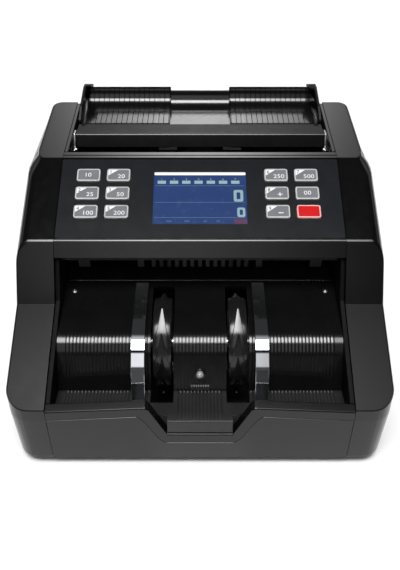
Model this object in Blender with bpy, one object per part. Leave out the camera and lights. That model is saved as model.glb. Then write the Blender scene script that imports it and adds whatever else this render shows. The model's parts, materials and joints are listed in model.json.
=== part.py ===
"""Front-loading banknote counter: housing, control panel, hopper, feed train and stacker.

Metres, +Z up, +Y to the rear. Every place is given as x (right of the middle plane), depth (back from the
front face) and height (above the table); add_piece moves depth so that the origin is at the bottom centre.
"""

import math

import bmesh
import bpy
from mathutils import Vector

# Overall
WIDTH = 0.280
FIT = 0.0003
ROUND_STEPS = 16
SKIN_ANGLES = (20, 38, 54, 68, 80)
HOLLOW_ANGLES = (90, 60, 30, 0)
DOME_ANGLES = (30, 55, 78)
KEY_ROWS = (1, 2, 3)
KEY_COLUMNS = (1, 2)

# Side view of the housing, as runs from front to rear and rises from the table up
GROUND_GAP = 0.0080
FRONT_TUCK = 0.002
CREASE_HEIGHT = 0.0494
FRONT_HEIGHT = 0.0594
ARM_RUN = 0.072
ARM_RISE = 0.0405
COLUMN_RUN = 0.024
COLUMN_RISE = 0.0415
PANEL_RUN = 0.068
PANEL_RISE = 0.0372
DECK_RUN = 0.092
DECK_RISE = 0.0136
HOPPER_OVERHANG = 0.024

# Side housings
SIDE_WIDTH = 0.029
SIDE_WALL = 0.0025
FRONT_CORNER_RADIUS = 0.017
REAR_CORNER_RADIUS = 0.012
PANEL_EDGE_RADIUS = 0.003
DECK_EDGE_RADIUS = 0.010
SHARP_EDGE_RADIUS = 0.0014
LEAST_BEND = 0.00035
LAST_RING_INSET = 0.0004
LEAN_UP = 0.042
LEAN_DOWN = 0.045

# Frame plates, base and feet
FRAME_THICK = 0.003
ARM_LEDGE = 0.0025
BASE_THICK = 0.0025
BASE_FLANGE = 0.014
FOOT_RADIUS = 0.008
FOOT_FLAT_RADIUS = 0.0068
FOOT_CHAMFER = 0.0008
FOOT_INSET_X = 0.048
FOOT_INSET_FRONT = 0.026
FOOT_INSET_REAR = 0.026

# Front panel with its finger notch
FRONT_PANEL_THICK = 0.0065
RAIL_RISE = 0.004
NOTCH_TOP_HALF = 0.036
NOTCH_BOTTOM_HALF = 0.024
NOTCH_HEIGHT = 0.0364
NOTCH_CORNER = 0.003
NOTCH_CORNER_DROP = 0.0015
RAIL_SAG = 0.0005
CREASE_DROP = 0.010
CREASE_SPREAD = 0.009
GROOVE = 0.0008

# Rear cover
REAR_THICK = 0.0028
REAR_TOP_GAP = 0.0018
VENT_COUNT = 9
VENT_PITCH = 0.009
VENT_WIDTH = 0.004
VENT_LOW = 0.0754
VENT_HIGH = 0.1204
VENT_INSET = 0.066

# Control panel: v runs up the slope from the front edge, w out of the face
CONTROL_THICK = 0.0028
LIP_LENGTH = 0.0126
LEDGE_LENGTH = 0.010
LEDGE_DROP = 0.008
OVERLAY_THICK = 0.0009
OVERLAY_MARGIN = 0.003
DISPLAY_WIDTH = 0.0734
DISPLAY_HEIGHT = 0.049
DISPLAY_V = 0.0398
DISPLAY_BORDER = 0.003
DISPLAY_THICK = 0.0028
KEY_WIDTH = 0.0192
KEY_HEIGHT = 0.0123
KEY_CORNER = 0.0022
KEY_PROUD = 0.0014
KEY_CHAMFER = 0.0006
KEY_FLANGE = 0.0010
KEY_FLANGE_THICK = 0.0013
KEY_PITCH_X = 0.0238
KEY_PITCH_V = 0.0170
KEY_MIDDLE_V = 0.0430
KEY_LEFT_INSET = 0.0345
KEY_RIGHT_INSET = 0.0388
KEY_BOARD_THICK = 0.0014

# Stacker: wheels, plate, floor and guide strips
WHEEL_BELOW_ARM = 0.0375
WHEEL_RADIUS = 0.040
WHEEL_HUB_RADIUS = 0.013
WHEEL_HALF_WIDTH = 0.0068
WHEEL_TIP_HALF_WIDTH = 0.0008
WHEEL_X = 0.0285
FIN_COUNT = 12
FIN_SWEEP = math.radians(112)
FIN_TAPER = math.radians(58)
FIN_CURVE = 2.2
FIN_FLARE = 0.8
FIN_THICK = 0.0019
FIN_TIP_THICK = 0.0007
FIN_STEPS = 8
SLOT_CLEARANCE = 0.0018
PLATE_THICK = 0.0025
PLATE_FALL = 0.045
PLATE_KNEE_AHEAD = 0.010
PLATE_KNEE_BELOW = 0.0123
PLATE_SLOPE = math.radians(12)
PLATE_BEND_RADIUS = 0.036
PLATE_END_ANGLE = math.radians(84)
PLATE_STEPS = 6
RIB_PITCH = 0.0075
RIB_HEIGHT = 0.0008
FLOOR_THICK = 0.0025
FLOOR_BELOW_RAIL = 0.0103
FLOOR_FALL = 0.0012
FLOOR_LENGTH = 0.0345
FLOOR_SLOT_START = 0.019
FLOOR_LIP_SETBACK = 0.0025
STRIP_X = 0.046
STRIP_WIDTH = 0.010
STRIP_THICK = 0.0008
STRIP_LENGTH = 0.043
STRIP_AHEAD = 0.002
STRIP_RISE = 0.0044
STRIP_SLOPE = math.radians(8.5)
STRIP_BEND_RADIUS = 0.042
STRIP_END_ANGLE = math.radians(80)
SENSOR_RADIUS = 0.0030
SENSOR_RIM = 0.0008
SENSOR_COLLAR = 0.0012
SENSOR_ANGLE = math.radians(74)
COMB_SETBACK = 0.003
COMB_BELOW_PANEL = 0.013
COMB_THICK = 0.003
COMB_BAR = 0.006
COMB_TOOTH = 0.006
COMB_TOOTH_WIDTH = 0.003
COMB_TOOTH_PITCH = 0.006
COMB_TOOTH_COUNT = 13
COMB_TAB_INSET = 0.0174
COMB_TAB_WIDTH = 0.009
COMB_STUB_WIDTH = 0.005

# Hopper, placed from the panel's rear edge and the housing's rear face
SCOOP_THICK = 0.0025
SCOOP_BEHIND_PANEL = 0.035
SCOOP_BELOW_PANEL = 0.0167
SCOOP_FEED_RUN = 0.037
SCOOP_FEED_RISE = 0.015
SCOOP_FLOOR_RISE = 0.0053
SCOOP_WALL = 0.0147
SCOOP_BEND = 0.016
SCOOP_ARC_RUN = 0.018
SCOOP_ARC_STEPS = 6
SCOOP_KNEE_BEND = 0.020
SCOOP_PLAIN_HALF = 0.027
CHEEK_THICK = 0.0045
CHEEK_LENGTH = 0.052
CHEEK_SHOULDER_SETBACK = 0.012
CHEEK_SHOULDER_DROP = 0.007
CHEEK_CROWN = 0.012
CHEEK_RISE = 0.0045
CHEEK_BROW = 0.015
CHEEK_DROP = 0.009
CHEEK_ROUND = 0.006
BAR_BEHIND_PANEL = 0.034
BAR_BELOW_PANEL = 0.0055
BAR_FACE_RUN = 0.004
BAR_FACE_RISE = 0.0101
BAR_TOP_RUN = 0.020
BAR_TOP_RISE = 0.0006
BAR_THICK = 0.0025
PAD_HALF = 0.012
PAD_LENGTH = 0.009
PAD_GAP = 0.0015

# Feed train, placed from the panel's rear edge
SHAFT_RADIUS = 0.004
DRUM_BEHIND_PANEL = 0.008
DRUM_BELOW_PANEL = 0.0472
DRUM_RADIUS = 0.026
DRUM_END_GAP = 0.0124
DRUM_CHAMFER = 0.0012
PICKUP_BEHIND_PANEL = 0.048
PICKUP_BELOW_PANEL = 0.0257
PICKUP_RADIUS = 0.015
PICKUP_X = 0.028
PICKUP_HALF_WIDTH = 0.008
PINCH_RADIUS = 0.008
PINCH_ANGLE = math.radians(217)
PINCH_NIP = 0.0005
PINCH_ROLLER_X = 0.055
PINCH_ROLLER_HALF = 0.012
PINCH_SHAFT_RADIUS = 0.003
GUIDE_GAP = 0.0035
GUIDE_THICK = 0.002
GUIDE_START = math.radians(60)
GUIDE_END = math.radians(195)
GUIDE_STEPS = 8
EXIT_AHEAD_OF_DRUM = 0.014
EXIT_BELOW_DRUM = 0.0315
EXIT_GAP = 0.0045
EXIT_DROP = 0.0008
BUSH_WALL = 0.003
BUSH_FLANGE = 0.002
BUSH_FLANGE_THICK = 0.0015

# Drive: pulleys outside the frame plates, belts in two rows
MOTOR_AHEAD_OF_REAR = 0.031
MOTOR_HEIGHT = 0.0504
MOTOR_RADIUS = 0.019
MOTOR_LENGTH = 0.055
MOTOR_CHAMFER = 0.0015
MOTOR_CAP_RADIUS = 0.0065
MOTOR_NOSE_RADIUS = 0.007
MOTOR_NOSE = 0.003
MOTOR_SHAFT_RADIUS = 0.0025
MOTOR_SHAFT_DEPTH = 0.008
MOTOR_PULLEY_RADIUS = 0.009
DRUM_PULLEY_RADIUS = 0.018
STACKER_DRIVE_RADIUS = 0.012
STACKER_PULLEY_RADIUS = 0.014
PICKUP_DRIVE_RADIUS = 0.012
PICKUP_PULLEY_RADIUS = 0.012
PULLEY_WIDTH = 0.0075
PULLEY_FLANGE = 0.0009
PULLEY_RIM = 0.0016
PULLEY_GAP = 0.003
BELT_THICK = 0.0014
BELT_STEPS = 10

# Electrics
BOARD_THICK = 0.0016
BOARD_LEG = 0.006
BOARD_LEG_WIDTH = 0.005
BOARD_INSET = 0.0174
BOARD_WIDTH = 0.132
BOARD_LENGTH = 0.072
BOARD_GAP = 0.010
SUPPLY_GAP = 0.0025
SUPPLY_WIDTH = 0.068
SUPPLY_LENGTH = 0.040
SUPPLY_CORE_HEIGHT = 0.040
SUPPLY_COIL_HEIGHT = 0.032
SUPPLY_YOKE = 0.014
INLET_INSET = 0.041
INLET_HEIGHT = 0.0414
INLET_WIDTH = 0.028
INLET_TALL = 0.021
INLET_RECESS_WIDTH = 0.0235
INLET_RECESS_TALL = 0.0165
INLET_RECESS = 0.015
INLET_BODY = 0.019
SOCKET_CORNER = 0.0015
FLANGE_OVERLAP = 0.003
FLANGE_THICK = 0.002
SWITCH_PITCH = 0.035
SWITCH_WIDTH = 0.0145
SWITCH_TALL = 0.0215
SWITCH_WALL = 0.0013
SWITCH_RECESS = 0.010
SWITCH_BODY = 0.013
ROCKER_TILT = math.radians(7)
ROCKER_BACK = 0.003
ROCKER_CREST = 0.0036
ROCKER_HORN = 0.0050
ROCKER_END_GAP = 0.0012
ROCKER_TAPER = 0.0016

# Places that follow from the sizes above: depths from the front, heights from the table
ARM_HEIGHT = FRONT_HEIGHT + ARM_RISE
PANEL_FRONT_DEPTH = ARM_RUN + COLUMN_RUN
PANEL_FRONT_HEIGHT = ARM_HEIGHT + COLUMN_RISE
PANEL_REAR_DEPTH = PANEL_FRONT_DEPTH + PANEL_RUN
PANEL_REAR_HEIGHT = PANEL_FRONT_HEIGHT + PANEL_RISE
BODY_DEPTH = PANEL_REAR_DEPTH + DECK_RUN
DECK_REAR_HEIGHT = PANEL_REAR_HEIGHT + DECK_RISE
DEPTH = BODY_DEPTH + HOPPER_OVERHANG
BAY_HALF = WIDTH / 2 - SIDE_WIDTH
FRAME_OUTER = BAY_HALF - FIT
FRAME_INNER = FRAME_OUTER - FRAME_THICK
SPAN_HALF = FRAME_INNER - FIT
BASE_TOP = GROUND_GAP + BASE_THICK
REAR_FACE = BODY_DEPTH - REAR_THICK
PANEL_SLOPE = math.atan2(PANEL_RISE, PANEL_RUN)
PANEL_LENGTH = math.hypot(PANEL_RISE, PANEL_RUN)
SKIN_DROP = OVERLAY_THICK + FIT
SKIN_UNDER = SKIN_DROP + CONTROL_THICK
WHEEL_DEPTH = ARM_RUN
WHEEL_HEIGHT = ARM_HEIGHT - WHEEL_BELOW_ARM
PLATE_KNEE_DEPTH = WHEEL_DEPTH - PLATE_KNEE_AHEAD
PLATE_KNEE_HEIGHT = ARM_HEIGHT - PLATE_KNEE_BELOW
FLOOR_FRONT_HEIGHT = FRONT_HEIGHT - FLOOR_BELOW_RAIL
COMB_DEPTH = PANEL_FRONT_DEPTH + COMB_SETBACK
COMB_TOP = PANEL_FRONT_HEIGHT - COMB_BELOW_PANEL
SCOOP_FRONT_DEPTH = PANEL_REAR_DEPTH + SCOOP_BEHIND_PANEL
SCOOP_FRONT_HEIGHT = PANEL_REAR_HEIGHT - SCOOP_BELOW_PANEL
SCOOP_KNEE_DEPTH = SCOOP_FRONT_DEPTH + SCOOP_FEED_RUN
SCOOP_KNEE_HEIGHT = SCOOP_FRONT_HEIGHT + SCOOP_FEED_RISE
SCOOP_CORNER_HEIGHT = SCOOP_KNEE_HEIGHT + SCOOP_FLOOR_RISE
SCOOP_TOP_HEIGHT = SCOOP_CORNER_HEIGHT + SCOOP_WALL
REAR_TOP_HEIGHT = SCOOP_CORNER_HEIGHT - CHEEK_DROP - REAR_TOP_GAP
CHEEK_TOP_HEIGHT = SCOOP_TOP_HEIGHT + CHEEK_RISE
DRUM_DEPTH = PANEL_REAR_DEPTH + DRUM_BEHIND_PANEL
DRUM_HEIGHT = PANEL_REAR_HEIGHT - DRUM_BELOW_PANEL
PICKUP_DEPTH = PANEL_REAR_DEPTH + PICKUP_BEHIND_PANEL
PICKUP_HEIGHT = PANEL_REAR_HEIGHT - PICKUP_BELOW_PANEL
PINCH_REACH = DRUM_RADIUS + PINCH_RADIUS + PINCH_NIP
PINCH_DEPTH = DRUM_DEPTH + PINCH_REACH * math.cos(PINCH_ANGLE)
PINCH_HEIGHT = DRUM_HEIGHT + PINCH_REACH * math.sin(PINCH_ANGLE)
MOTOR_DEPTH = BODY_DEPTH - MOTOR_AHEAD_OF_REAR
ROW_ONE = FRAME_OUTER + PULLEY_GAP
ROW_TWO = ROW_ONE + PULLEY_WIDTH + FIT
DRUM_HALF = SPAN_HALF - DRUM_END_GAP
COMB_TAB_X = SPAN_HALF - COMB_TAB_INSET
KEY_LEFT_X = KEY_LEFT_INSET - BAY_HALF
KEY_RIGHT_X = BAY_HALF - KEY_RIGHT_INSET
VENT_X = BAY_HALF - VENT_INSET
INLET_X = INLET_INSET - BAY_HALF
SWITCH_X = INLET_X + SWITCH_PITCH
MOTOR_FACE = FRAME_INNER - FIT
SUPPLY_RIGHT_X = MOTOR_FACE - MOTOR_LENGTH - MOTOR_CHAMFER - SUPPLY_GAP
SUPPLY_REAR = BODY_DEPTH - INLET_BODY - SUPPLY_GAP
BOARD_LEFT_X = BOARD_INSET - SPAN_HALF

# The housing's side view, clockwise from the front foot; edge i runs from corner i to the next
FRONT_CREASE = (0.0, CREASE_HEIGHT)
REAR_CREASE = (BODY_DEPTH, CREASE_HEIGHT)
HOUSING_OUTLINE = [
    (FRONT_TUCK, GROUND_GAP),
    FRONT_CREASE,
    (0.0, FRONT_HEIGHT),
    (ARM_RUN, ARM_HEIGHT),
    (PANEL_FRONT_DEPTH, PANEL_FRONT_HEIGHT),
    (PANEL_REAR_DEPTH, PANEL_REAR_HEIGHT),
    (BODY_DEPTH, DECK_REAR_HEIGHT),
    REAR_CREASE,
    (BODY_DEPTH - FRONT_TUCK, GROUND_GAP),
]
EDGE_RADII = [
    FRONT_CORNER_RADIUS,
    FRONT_CORNER_RADIUS,
    SHARP_EDGE_RADIUS,
    SHARP_EDGE_RADIUS,
    PANEL_EDGE_RADIUS,
    DECK_EDGE_RADIUS,
    REAR_CORNER_RADIUS,
    REAR_CORNER_RADIUS,
    SHARP_EDGE_RADIUS,
]


def material(name, color, roughness, metallic=0.0, alpha=1.0):
    made = bpy.data.materials.new(name)
    made.use_nodes = True
    shader = made.node_tree.nodes["Principled BSDF"]
    shader.inputs["Base Color"].default_value = (*color, 1.0)
    shader.inputs["Roughness"].default_value = roughness
    shader.inputs["Metallic"].default_value = metallic
    shader.inputs["Alpha"].default_value = alpha
    return made


def add_piece(name, shape, finish, pivot=None):
    """One solid from (points, faces); a moving piece has its origin at pivot."""
    points, faces = shape
    shift = Vector((0, DEPTH / 2, 0))
    origin = Vector(pivot) - shift if pivot else Vector()
    mesh = bpy.data.meshes.new(name)
    mesh.from_pydata([Vector(p) - shift - origin for p in points], [], faces)
    work = bmesh.new()
    work.from_mesh(mesh)
    bmesh.ops.recalc_face_normals(work, faces=work.faces)
    work.to_mesh(mesh)
    work.free()
    mesh.materials.append(finish)
    piece = bpy.data.objects.new(name, mesh)
    piece.location = origin
    piece.parent = ASSEMBLY
    bpy.context.scene.collection.objects.link(piece)
    return piece


def smooth(piece):
    piece.data.shade_smooth()
    piece.data.set_sharp_from_angle(angle=math.radians(35))
    return piece


def cut(piece, shape):
    """Takes a closed shape away from a piece."""
    cutter = add_piece(piece.name + "_cutter", shape, piece.data.materials[0])
    cutter.hide_render = True
    cutter.display_type = "WIRE"
    modifier = piece.modifiers.new("openings", "BOOLEAN")
    modifier.operation = "DIFFERENCE"
    modifier.solver = "EXACT"
    modifier.object = cutter


def joined(shapes):
    """Several shapes as one list of points and faces."""
    points, faces = [], []
    for more_points, more_faces in shapes:
        faces += [tuple(len(points) + i for i in face) for face in more_faces]
        points += list(more_points)
    return points, faces


def loft(rings, looped=False, split=None):
    """A skin over rings of equal count: capped at both ends, or looped back to the first ring."""
    count = len(rings[0])
    points = [p for ring in rings for p in ring]
    faces = []
    for r in range(len(rings) if looped else len(rings) - 1):
        a, b = r * count, (r + 1) % len(rings) * count
        for i in range(count):
            j = (i + 1) % count
            faces.append((a + i, a + j, b + j, b + i))
    if not looped:
        for start in (0, (len(rings) - 1) * count):
            ring = [start + i for i in range(count)]
            if split:
                low, high = split
                faces.append(tuple(ring[low : high + 1]))
                faces.append(tuple(ring[high:] + ring[: low + 1]))
            else:
                faces.append(tuple(ring))
    return points, faces


def prism(outline, x0, x1):
    """A side view outline of depths and heights, drawn out from x0 to x1."""
    return loft([[(x, d, h) for d, h in outline] for x in (x0, x1)])


def turned(profile, centre, axis=(1, 0, 0), bored=False, steps=ROUND_STEPS):
    """A solid of revolution from (place along the axis, radius) pairs; a bored one is a closed loop."""
    axis = Vector(axis).normalized()
    first = axis.orthogonal().normalized()
    second = axis.cross(first)
    rings = []
    for along, radius in profile:
        ring = []
        for i in range(steps):
            angle = 2 * math.pi * i / steps
            spoke = first * math.cos(angle) + second * math.sin(angle)
            ring.append(Vector(centre) + axis * along + spoke * radius)
        rings.append(ring)
    return loft(rings, looped=bored)


def offset_outline(outline, insets):
    """Moves each edge of a clockwise outline inwards by its own distance."""
    lines = []
    for i, start in enumerate(outline):
        start = Vector(start)
        run = (Vector(outline[(i + 1) % len(outline)]) - start).normalized()
        lines.append((start + Vector((run.y, -run.x)) * insets[i], run))
    return [meeting(lines[i - 1], lines[i]) for i in range(len(lines))]


def meeting(one, other):
    """Where two lines, each a point and a direction, cross."""
    (p, d), (q, e) = one, other
    reach = (q - p).cross(e) / d.cross(e)
    return p + d * reach


def offset_path(path, distance):
    """An open path moved to its right by a distance, with mitred corners."""
    lines = []
    for start, end in zip(path, path[1:]):
        run = (Vector(end) - Vector(start)).normalized()
        lines.append((Vector(start) + Vector((run.y, -run.x)) * distance, run))
    moved = [lines[0][0]]
    for one, other in zip(lines, lines[1:]):
        straight = abs(one[1].cross(other[1])) < 1e-3
        moved.append(other[0] if straight else meeting(one, other))
    last_start, last_run = lines[-1]
    moved.append(last_start + last_run * (Vector(path[-1]) - Vector(path[-2])).length)
    return moved


def rounded(before, corner, after, radius, steps):
    """A corner as a curve tangent to both its sides, limited to half of each."""
    before, corner, after = Vector(before), Vector(corner), Vector(after)
    one, other = before - corner, after - corner
    reach = min(radius / math.tan(one.angle(other) / 2), one.length * 0.45, other.length * 0.45)
    start, end = corner + one.normalized() * reach, corner + other.normalized() * reach
    curve = []
    for i in range(steps + 1):
        t = i / steps
        curve.append(start * (1 - t) ** 2 + corner * (2 * t * (1 - t)) + end * t**2)
    return curve


def rounded_outline(outline, radius, steps=3):
    points = []
    for i, corner in enumerate(outline):
        points += rounded(outline[i - 1], corner, outline[(i + 1) % len(outline)], radius, steps)
    return points


def rounded_rectangle(width, tall, radius, steps=2):
    x, y = width / 2, tall / 2
    return rounded_outline([(-x, -y), (-x, y), (x, y), (x, -y)], radius, steps)


def sheet(columns, outer, inner, is_open=None, rib=None):
    """A bent sheet between two side view paths, with cells left open and ribs raised on the outer face.

    is_open(x, segment) says whether a cell is a hole; rib(x) gives how far the outer face stands out there.
    """
    rows = len(outer)
    points = []
    for x in columns:
        for d, h, back_d, back_h in [(*o, *b) for o, b in zip(outer, inner)]:
            raised = rib(x) if rib else 0.0
            out = Vector((d - back_d, h - back_h)).normalized() * raised
            points.append((x, d + out.x, h + out.y))
    back = len(points)
    points += [(x, d, h) for x in columns for d, h in inner]
    solid = {
        (i, j)
        for i in range(len(columns) - 1)
        for j in range(rows - 1)
        if not (is_open and is_open((columns[i] + columns[i + 1]) / 2, j))
    }
    faces = []
    for i, j in solid:
        a, b, c, d = i * rows + j, i * rows + j + 1, (i + 1) * rows + j + 1, (i + 1) * rows + j
        faces += [(a, b, c, d), (back + d, back + c, back + b, back + a)]
        for p, q, beside in ((a, b, (i - 1, j)), (c, d, (i + 1, j)), (d, a, (i, j - 1)), (b, c, (i, j + 1))):
            if beside not in solid:
                faces.append((q, p, back + p, back + q))
    used = sorted({k for face in faces for k in face})
    place = {k: n for n, k in enumerate(used)}
    return [points[k] for k in used], [tuple(place[k] for k in face) for face in faces]


def grid_lines(values):
    """Sorted values with near repeats dropped."""
    lines = []
    for value in sorted(values):
        if not lines or value - lines[-1] > FIT / 3:
            lines.append(value)
    return lines


def rib_columns(half, extra):
    """Column places across a ribbed sheet: crests and valleys by turns, and the edges of its slots."""
    count = 2 * round(half / RIB_PITCH)
    step = half / count
    ribs = [i * step for i in range(-count, count + 1)]
    clear = [x for x in ribs if all(abs(x - edge) > step / 3 for edge in extra)]
    return grid_lines(clear + list(extra))


def crest(x, half):
    """Rib height at a column place: full on every other rib line."""
    count = 2 * round(half / RIB_PITCH)
    place = x / (half / count)
    return RIB_HEIGHT if round(place) % 2 and abs(place - round(place)) < 1e-3 else 0.0


def bent_path(top_depth, knee_depth, knee_height, slope, radius, end_angle, steps, foot_height):
    """The stacker's fall: a slope from the rear, a bend and a steep run down to the floor."""
    path = [(top_depth, knee_height + (top_depth - knee_depth) * math.tan(slope))]
    for i in range(steps + 1):
        angle = slope + (end_angle - slope) * i / steps
        path.append(
            (
                knee_depth - radius * (math.sin(angle) - math.sin(slope)),
                knee_height - radius * (math.cos(slope) - math.cos(angle)),
            )
        )
    depth, height = path[-1]
    path.append((depth - (height - foot_height) / math.tan(end_angle), foot_height))
    return path


def panel_place(v, w):
    """Depth and height of a place on the control panel's slope."""
    return (
        PANEL_FRONT_DEPTH + v * math.cos(PANEL_SLOPE) - w * math.sin(PANEL_SLOPE),
        PANEL_FRONT_HEIGHT + v * math.sin(PANEL_SLOPE) + w * math.cos(PANEL_SLOPE),
    )


def panel_block(outlines):
    """A solid on the slope from rings of (x, v) outlines, each at its own w."""
    return loft([[(x, *panel_place(v, w)) for x, v in outline] for outline, w in outlines])


def moved(outline, x, v):
    return [(p[0] + x, p[1] + v) for p in outline]


def key_places():
    """Names and middles of the twelve keys, in two blocks of two columns by three rows."""
    places = []
    for block, middle in (("left", KEY_LEFT_X), ("right", KEY_RIGHT_X)):
        for row in KEY_ROWS:
            for column in KEY_COLUMNS:
                x = middle + (column - sum(KEY_COLUMNS) / len(KEY_COLUMNS)) * KEY_PITCH_X
                v = KEY_MIDDLE_V - (row - sum(KEY_ROWS) / len(KEY_ROWS)) * KEY_PITCH_V
                places.append((f"key_{block}_{row}{column}", x, v))
    return places


def panel_openings(clearance):
    """Holes through the control panel as (low x, high x, low v, high v)."""
    spaces = [(x, v, KEY_WIDTH, KEY_HEIGHT) for _, x, v in key_places()]
    spaces.append((0.0, DISPLAY_V, DISPLAY_WIDTH, DISPLAY_HEIGHT))
    return [
        (x - w / 2 - clearance, x + w / 2 + clearance, v - h / 2 - clearance, v + h / 2 + clearance)
        for x, v, w, h in spaces
    ]


def inside(x, v, spaces):
    return any(x0 < x < x1 and v0 < v < v1 for x0, x1, v0, v1 in spaces)


def housing_insets(x, wall):
    """How far each edge of the outline draws in at x, for the outer skin or for one a wall further in."""
    insets = []
    from_face = WIDTH / 2 - wall - x
    for radius in EDGE_RADII:
        bend = max(radius - wall, LEAST_BEND)
        drawn = bend - math.sqrt(bend**2 - (bend - from_face) ** 2) if from_face < bend else 0.0
        insets.append(wall + drawn)
    return insets


def housing_ring(side, x, wall):
    ring = []
    for d, h in offset_outline(HOUSING_OUTLINE, housing_insets(x, wall)):
        lean = LEAN_UP * max(h - ARM_HEIGHT, 0.0) + LEAN_DOWN * max(CREASE_HEIGHT - h, 0.0)
        reach = (x - BAY_HALF) / SIDE_WIDTH
        ring.append((side * (x - lean * reach), d, h))
    return ring


def side_housings():
    """Two moulded covers, open towards the frame, with rounded corners and leaning sides."""
    outer = WIDTH / 2
    bend = FRONT_CORNER_RADIUS
    skin = [BAY_HALF, outer - bend]
    skin += [outer - bend * (1 - math.sin(math.radians(a))) for a in SKIN_ANGLES]
    skin += [outer - LAST_RING_INSET, outer]
    within = bend - SIDE_WALL
    hollow = [outer - SIDE_WALL - within * (1 - math.sin(math.radians(a))) for a in HOLLOW_ANGLES]
    hollow += [BAY_HALF]
    for side, name in ((-1, "left_side_housing"), (1, "right_side_housing")):
        rings = [housing_ring(side, x, SIDE_WALL) for x in hollow]
        rings += [housing_ring(side, x, 0.0) for x in skin]
        creases = (HOUSING_OUTLINE.index(FRONT_CREASE), HOUSING_OUTLINE.index(REAR_CREASE))
        smooth(add_piece(name, loft(rings, split=creases), BLACK_PLASTIC))


def frame_outline():
    front = FRONT_PANEL_THICK + FIT
    under = SKIN_UNDER + FIT
    insets = [front, front, ARM_LEDGE, under, under, under, REAR_THICK + FIT, REAR_THICK + FIT, FIT]
    return offset_outline(HOUSING_OUTLINE, insets)


def frame_plates():
    """Two plates that carry every shaft; only the stacker's bores are bushed."""
    bush_hole = SHAFT_RADIUS + BUSH_WALL + 2 * FIT
    holes = [
        (WHEEL_DEPTH, WHEEL_HEIGHT, bush_hole),
        (DRUM_DEPTH, DRUM_HEIGHT, SHAFT_RADIUS + FIT),
        (PICKUP_DEPTH, PICKUP_HEIGHT, SHAFT_RADIUS + FIT),
        (PINCH_DEPTH, PINCH_HEIGHT, PINCH_SHAFT_RADIUS + FIT),
    ]
    motor_hole = (MOTOR_DEPTH, MOTOR_HEIGHT, MOTOR_NOSE_RADIUS + 2 * FIT)
    for side, name, more in ((-1, "left_frame_plate", []), (1, "right_frame_plate", [motor_hole])):
        plate = add_piece(name, prism(frame_outline(), side * FRAME_INNER, side * FRAME_OUTER), DARK_STEEL)
        reach = 2 * FRAME_THICK
        bores = [
            turned([(-reach, r), (reach, r)], (side * (FRAME_INNER + FRAME_OUTER) / 2, d, h))
            for d, h, r in holes + more
        ]
        cut(plate, joined(bores))


def base_pan():
    half = SPAN_HALF
    low, top = GROUND_GAP, GROUND_GAP + BASE_FLANGE
    section = [
        (-half, low),
        (-half, top),
        (-half + BASE_THICK, top),
        (-half + BASE_THICK, BASE_TOP),
        (half - BASE_THICK, BASE_TOP),
        (half - BASE_THICK, top),
        (half, top),
        (half, low),
    ]
    ends = (FRONT_TUCK + FRONT_PANEL_THICK + FIT, REAR_FACE - FIT)
    add_piece("base_pan", loft([[(x, d, h) for x, h in section] for d in ends]), DARK_STEEL)


def feet():
    top = GROUND_GAP - FIT
    profile = [(0, FOOT_FLAT_RADIUS), (FOOT_CHAMFER, FOOT_RADIUS), (top, FOOT_RADIUS)]
    out = WIDTH / 2 - FOOT_INSET_X
    places = {"front": FOOT_INSET_FRONT, "rear": BODY_DEPTH - FOOT_INSET_REAR}
    for end, depth in places.items():
        for side, x in (("left", -out), ("right", out)):
            shape = turned(profile, (x, depth, 0), axis=(0, 0, 1))
            smooth(add_piece(f"{end}_{side}_foot", shape, RUBBER))


def front_panel():
    """The front wall: its rail rises to a finger notch, with a crease that follows the edge."""
    half = BAY_HALF - FIT
    rail = FRONT_HEIGHT + RAIL_RISE
    crease_low = NOTCH_HEIGHT - CREASE_DROP
    tops = [
        (half, FRONT_HEIGHT),
        (NOTCH_TOP_HALF + CREASE_SPREAD, rail - RAIL_SAG),
        (NOTCH_TOP_HALF + NOTCH_CORNER, rail),
        (NOTCH_TOP_HALF, rail - NOTCH_CORNER_DROP),
        (NOTCH_BOTTOM_HALF, NOTCH_HEIGHT),
    ]
    creases = [
        (half, CREASE_HEIGHT),
        (NOTCH_TOP_HALF + CREASE_SPREAD, rail - CREASE_DROP),
        (NOTCH_BOTTOM_HALF + CREASE_SPREAD / 2, crease_low + NOTCH_CORNER_DROP),
        (NOTCH_BOTTOM_HALF, crease_low),
    ]
    places = sorted({x for x, _ in tops + creases})
    places = [-x for x in reversed(places)] + places
    rings = []
    for x in places:
        top, crease = between(abs(x), tops), between(abs(x), creases)
        back = FRONT_PANEL_THICK
        rings.append(
            [
                (x, FRONT_TUCK, GROUND_GAP),
                (x, FIT, crease - GROOVE),
                (x, GROOVE, crease),
                (x, 0, crease + GROOVE),
                (x, 0, top - GROOVE),
                (x, GROOVE, top),
                (x, back, top),
                (x, back, crease_low),
                (x, FRONT_TUCK + back, GROUND_GAP),
            ]
        )
    add_piece("front_panel", loft(rings), BLACK_PLASTIC)


def between(x, table):
    """A value read off straight lines between (place, value) pairs."""
    pairs = sorted(table)
    for (x0, y0), (x1, y1) in zip(pairs, pairs[1:]):
        if x0 <= x <= x1:
            return y0 + (y1 - y0) * (x - x0) / (x1 - x0)
    return pairs[0][1] if x < pairs[0][0] else pairs[-1][1]


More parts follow.
